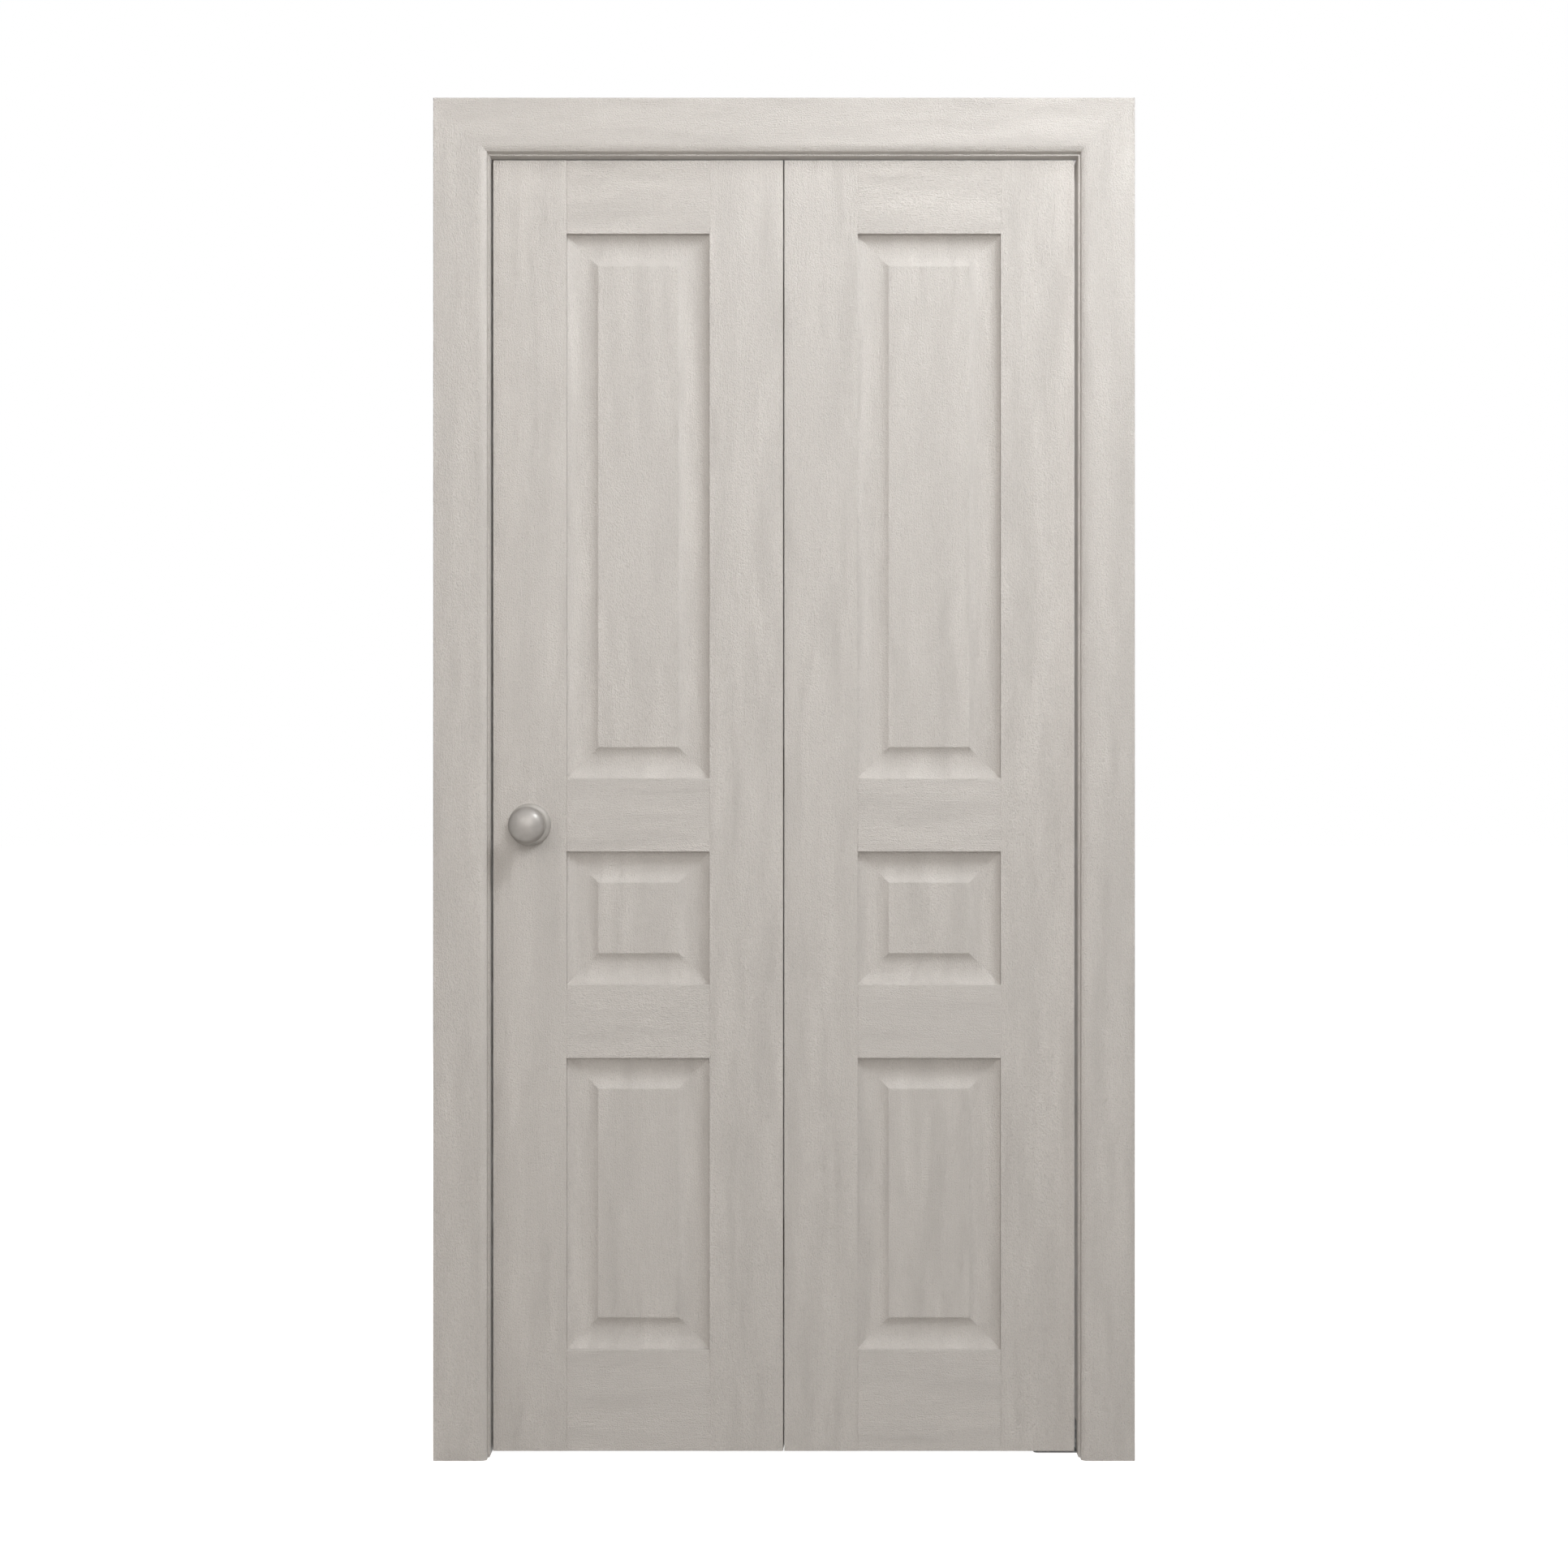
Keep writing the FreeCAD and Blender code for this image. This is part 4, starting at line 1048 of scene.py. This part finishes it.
def recessed_screws(node, ways, head_radius):
    """A node's screws: one gets its driver recess and is copied to every place."""
    recess_depth, recess_edge, next_turn = 0.62, 0.08 * MM, 0.83
    name = "cross_head_" + node
    first = merged_copy(node, name)
    boxes = solids_of(first)
    low, high = boxes[0]
    with editing(first):
        pick_faces(first, lambda centre, normal: any(
            not low[i] - SAME_PLACE < centre[i] < high[i] + SAME_PLACE for i in range(3)))
        bpy.ops.mesh.delete(type="FACE")
    start, reach = (low + high) / 2, (high - low) / 2
    way = ways(start)
    head = start - Vector([way[i] * reach[i] for i in range(3)])
    radius = head_radius * sizes().recess_share
    cut(first, cross_cutter(head, way, radius, recess_depth * radius))
    ease(first, recess_edge, 1)
    axis = "XYZ"[[abs(value) for value in way].index(1)]
    screws = [first]
    for index, (low, high) in enumerate(boxes[1:], 1):
        centre = (low + high) / 2
        screw = moved_copy(first, name, centre - start)
        with editing(screw, whole=True):
            if ways(centre) != way:
                bpy.ops.transform.rotate(value=math.pi, orient_axis="Z", center_override=centre)
            bpy.ops.transform.rotate(value=next_turn * index, orient_axis=axis, center_override=centre)
        screws.append(screw)
    piece = join(name, screws)
    smooth(piece)
    return piece


class DOOR_OT_hinges(bpy.types.Operator):
    """Ease and plate one hinge and copy it to the three places"""

    bl_idname = "door.hinges"
    bl_label = "Hinges"

    def execute(self, context):
        places = ("top", "middle", "bottom")
        for part in ("left_plate", "right_plate"):
            model = merged_copy("top_hinge_" + part, part)
            ease(model, sizes().metal_edge)
            nodes = [f"{place}_hinge_{part}" for place in places]
            for piece, node in copies_for(model, "top_hinge_" + part, "plated_", nodes):
                smooth(piece)
                stand_for(piece, node, "satin_nickel", "lacquered_nickel")
        for place in places:
            dress_node(f"{place}_hinge_pin", "lacquered_nickel")
        return {"FINISHED"}


class DOOR_OT_screws(bpy.types.Operator):
    """Cut a cross recess in one screw of each kind and copy it to every place"""

    bl_idname = "door.screws"
    bl_label = "Screws"

    def execute(self, context):
        nickel, zinc = ("satin_nickel", "lacquered_nickel"), ("zinc_plated_steel", "zinc_plate")
        for node, ways, head_radius, metal in (
                ("left_hinge_screws", lambda centre: (0, -1, 0), 3.5 * MM, nickel),
                ("right_hinge_screws", lambda centre: (0, -1, 0), 3.5 * MM, nickel),
                ("bottom_bracket_screws", lambda centre: (1, 0, 0), 3.5 * MM, zinc),
                ("jamb_screws", lambda centre: (-math.copysign(1, centre.x), 0, 0), 4.5 * MM, zinc),
                ("knob_bolt", lambda centre: (0, -1, 0), 6.5 * MM, zinc),
                ("track_screws", lambda centre: (0, 0, 1), 4.0 * MM, zinc),
                ("top_bracket_screws", lambda centre: (0, 0, 1), 4.0 * MM, zinc)):
            stand_for(recessed_screws(node, ways, head_radius), node, *metal)
        return {"FINISHED"}


def domed_knob():
    """The turned knob, its face drawn out from the widest ring as one smooth dome."""
    low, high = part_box("knob")
    depth = sizes().knob_dome
    centre, radius, ring = (low + high) / 2, (high.x - low.x) / 2, low.y + depth
    steps = 16
    piece = merged_copy("knob", "domed_knob")
    with editing(piece):
        pick_faces(piece, lambda middle, normal: middle.y < ring)
        bpy.ops.mesh.delete(type="FACE")
        bpy.ops.mesh.select_mode(type="EDGE")
        pick_edges(piece, lambda a, b: near(a.y, ring, ON_CURVE) and near(b.y, ring, ON_CURVE))
        for step in range(steps):
            turn, following = math.pi / 2 * step / steps, math.pi / 2 * (step + 1) / steps
            forward = depth * (math.sin(following) - math.sin(turn))
            narrower = math.cos(following) / math.cos(turn)
            bpy.ops.mesh.extrude_region_move(TRANSFORM_OT_translate={"value": (0.0, -forward, 0.0)})
            bpy.ops.transform.resize(value=(narrower, 1.0, narrower), center_override=centre)
        bpy.ops.mesh.select_all(action="SELECT")
        bpy.ops.mesh.remove_doubles(threshold=SAME_PLACE)
        bpy.ops.mesh.normals_make_consistent(inside=False)
    smooth(piece)
    return piece


class DOOR_OT_knob(bpy.types.Operator):
    """Draw out the knob's dome and plate it with its rose"""

    bl_idname = "door.knob"
    bl_label = "Knob"

    def execute(self, context):
        stand_for(domed_knob(), "knob", "satin_nickel", "lacquered_nickel")
        dress_node("knob_rose", "brushed_nickel")
        return {"FINISHED"}


def shortening_spring(node):
    """A coil spring copied from its node, smoothed and finished, with its own mesh."""
    spring = merged_copy(node, "coiled_" + node)
    smooth(spring)
    stand_for(spring, node, "spring_steel", "spring_wire")
    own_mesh(spring)


class DOOR_OT_track_set(bpy.types.Operator):
    """Finish the track, the brackets, the pivots and the guide"""

    bl_idname = "door.track_set"
    bl_label = "Track, pivots and guide"

    def execute(self, context):
        # The bottom bracket gets the dark zinc, which is painted shade that makes it read as the shaded gap
        # under the leaf.
        for node, slot_name, material in (("track", "zinc_plated_steel", "zinc_plate"),
                                          ("bottom_pivot_bracket", "zinc_plated_steel", "dull_zinc_plate"),
                                          ("top_pivot_bracket", "nylon", "moulded_nylon")):
            piece = merged_copy(node, "eased_" + node)
            ease(piece, sizes().metal_edge)
            smooth(piece)
            stand_for(piece, node, slot_name, material)
        for node, joint in (("top_pivot_spring", "pivot_pin_press"), ("guide_spring", "guide_press")):
            shortening_spring(node)
        finishes_of_nodes = {
            "zinc_plate": ("top_pivot_pin", "bottom_pivot_pin", "guide_pin", "casing_nails"),
            "moulded_nylon": ("top_pivot_socket", "bottom_pivot_socket", "guide_socket", "guide_wheel",
                              "guide_cap"),
            "bare_level": ("left_dowels", "right_dowels"),
        }
        for name, nodes in finishes_of_nodes.items():
            for node in nodes:
                dress_node(node, name)
        return {"FINISHED"}


# --- stage ---
LAMPS = (
    # name, place, height of its aim, side, and the settings of its power and tint
    ("key_lamp", (1.6, -1.4, 3.4), 1.5, 0.9, "key_power", "cool"),
    ("near_lamp", (0.3, -2.4, 3.4), 1.6, 2.4, "near_power", "plain"),
    ("front_lamp", (0.3, -4.2, 2.1), 1.1, 2.5, "front_power", "warm"),
    ("side_lamp", (-2.2, -3.4, 2.9), 1.2, 3.0, "side_power", "warm"),
    ("closet_lamp", (-2.6, 3.4, 2.6), 1.1, 2.5, "closet_power", "plain"),
)


def add_lamp(name, place, aim_height, side, watts, tint):
    """A square area lamp that faces the door's middle at a height."""
    look = studio()
    lamp = bpy.data.objects.new(name, bpy.data.lights.new(name, "AREA"))
    bpy.context.scene.collection.objects.link(lamp)
    lamp.data.shape = "SQUARE"
    lamp.data.size = side
    lamp.data.energy = getattr(look, watts)
    lamp.data.color = getattr(look, tint)
    lamp.location = place
    aim = Vector((0.0, 0.0, aim_height)) - Vector(place)
    lamp.rotation_euler = aim.to_track_quat("-Z", "Y").to_euler()


def let_light_pass(lamp, pieces):
    """Keeps the fixed surround from throwing a lamp's hard shadow across the leaves."""
    passed = bpy.data.collections.new("lets_light_pass")
    for name in pieces:
        passed.objects.link(bpy.data.objects[name])
    for item in passed.collection_objects:
        item.light_linking.link_state = "EXCLUDE"
    lamp.light_linking.blocker_collection = passed


def seen_directly(tree):
    """One where the camera, a mirror or clear glass sees a surface, else zero."""
    path = add_node(tree, "LightPath").outputs
    seen = maths(tree, "MAXIMUM", path["Is Camera Ray"], path["Is Glossy Ray"])
    return maths(tree, "MAXIMUM", seen, path["Is Transmission Ray"])


def floor_material():
    """A pale floor that reads as white and keeps the object's shadow."""
    look = studio()
    glow_start, glow_end = 2.0, 6.0
    material, tree, shader = new_material("studio_floor")
    place = add_node(tree, "TexCoord").outputs["Object"]
    away = add_node(tree, "VectorMath", {0: place}, operation="LENGTH").outputs["Value"]
    white = remap(tree, away, glow_start, glow_end, look.floor_glow, 1.0)
    glow = maths(tree, "MULTIPLY", seen_directly(tree), white)
    feed(tree, shader, {"Base Color": rgba(look.floor), "Roughness": 0.9, "Specular IOR Level": 0.0,
                        "Emission Color": WHITE, "Emission Strength": glow})
    return material


class DOOR_OT_stage(bpy.types.Operator):
    """Set the floor, the surroundings, the lamps and the camera"""

    bl_idname = "door.stage"
    bl_label = "Stage"

    def execute(self, context):
        look = studio()
        scene = context.scene
        floor_side, sensor_width = 60.0, 36.0
        bpy.ops.object.select_all(action="DESELECT")
        bpy.ops.mesh.primitive_plane_add(size=floor_side, location=ORIGIN)
        floor = context.object
        floor.name = "studio_floor"
        floor.data.materials.append(floor_material())

        world = bpy.data.worlds.new("studio_surroundings")
        scene.world = world
        world.use_nodes = True
        tree = world.node_tree
        background = next(node for node in tree.nodes if node.type == "BACKGROUND")
        strength = remap(tree, seen_directly(tree), 0.0, 1.0, look.sky, 1.0)
        feed(tree, background.inputs, {"Color": WHITE, "Strength": strength})

        for lamp in LAMPS:
            add_lamp(*lamp)
        let_light_pass(bpy.data.objects["key_lamp"], [
            f"painted_{part}_{place}" for part in ("casing", "jamb") for place in ("left", "right", "head")])

        camera = bpy.data.objects.new("camera", bpy.data.cameras.new("camera"))
        scene.collection.objects.link(camera)
        camera.data.lens = look.lens
        camera.data.sensor_width = sensor_width
        casing_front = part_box("casing_head")[0].y
        camera.location = (0.0, casing_front - look.camera_distance, look.camera_height)
        camera.rotation_euler = (math.pi / 2, 0.0, 0.0)
        scene.camera = camera
        scene.view_settings.view_transform = "Standard"
        return {"FINISHED"}


# --- panel and registration ---
OPERATORS = (
    DOOR_OT_casing, DOOR_OT_stiles, DOOR_OT_rails, DOOR_OT_panels, DOOR_OT_jambs,
    DOOR_OT_hinges, DOOR_OT_screws, DOOR_OT_knob, DOOR_OT_track_set, DOOR_OT_stage,
)


class VIEW3D_PT_bifold_door(bpy.types.Panel):
    """Sizes, finishes and build steps of the bifold door"""

    bl_label = "Bifold Door"
    bl_space_type = "VIEW_3D"
    bl_region_type = "UI"
    bl_category = "Bifold Door"

    def draw(self, context):
        scene = context.scene
        for settings in (scene.door_sizes, scene.door_finishes, scene.door_studio):
            box = self.layout.box()
            for name in settings.bl_rna.properties.keys():
                if name not in ("rna_type", "name"):
                    box.prop(settings, name)
        for operator in OPERATORS:
            self.layout.operator(operator.bl_idname)


CLASSES = (DoorSizes, DoorFinishes, StudioSettings, *OPERATORS, VIEW3D_PT_bifold_door)


def register():
    for item in CLASSES:
        bpy.utils.register_class(item)
    bpy.types.Scene.door_sizes = bpy.props.PointerProperty(type=DoorSizes)
    bpy.types.Scene.door_finishes = bpy.props.PointerProperty(type=DoorFinishes)
    bpy.types.Scene.door_studio = bpy.props.PointerProperty(type=StudioSettings)


def unregister():
    del bpy.types.Scene.door_studio
    del bpy.types.Scene.door_finishes
    del bpy.types.Scene.door_sizes
    for item in reversed(CLASSES):
        bpy.utils.unregister_class(item)


def main():
    """Builds everything in order."""
    register()
    for operator in OPERATORS:
        getattr(bpy.ops.door, operator.bl_idname.removeprefix("door."))()


if __name__ == "__main__":
    main()
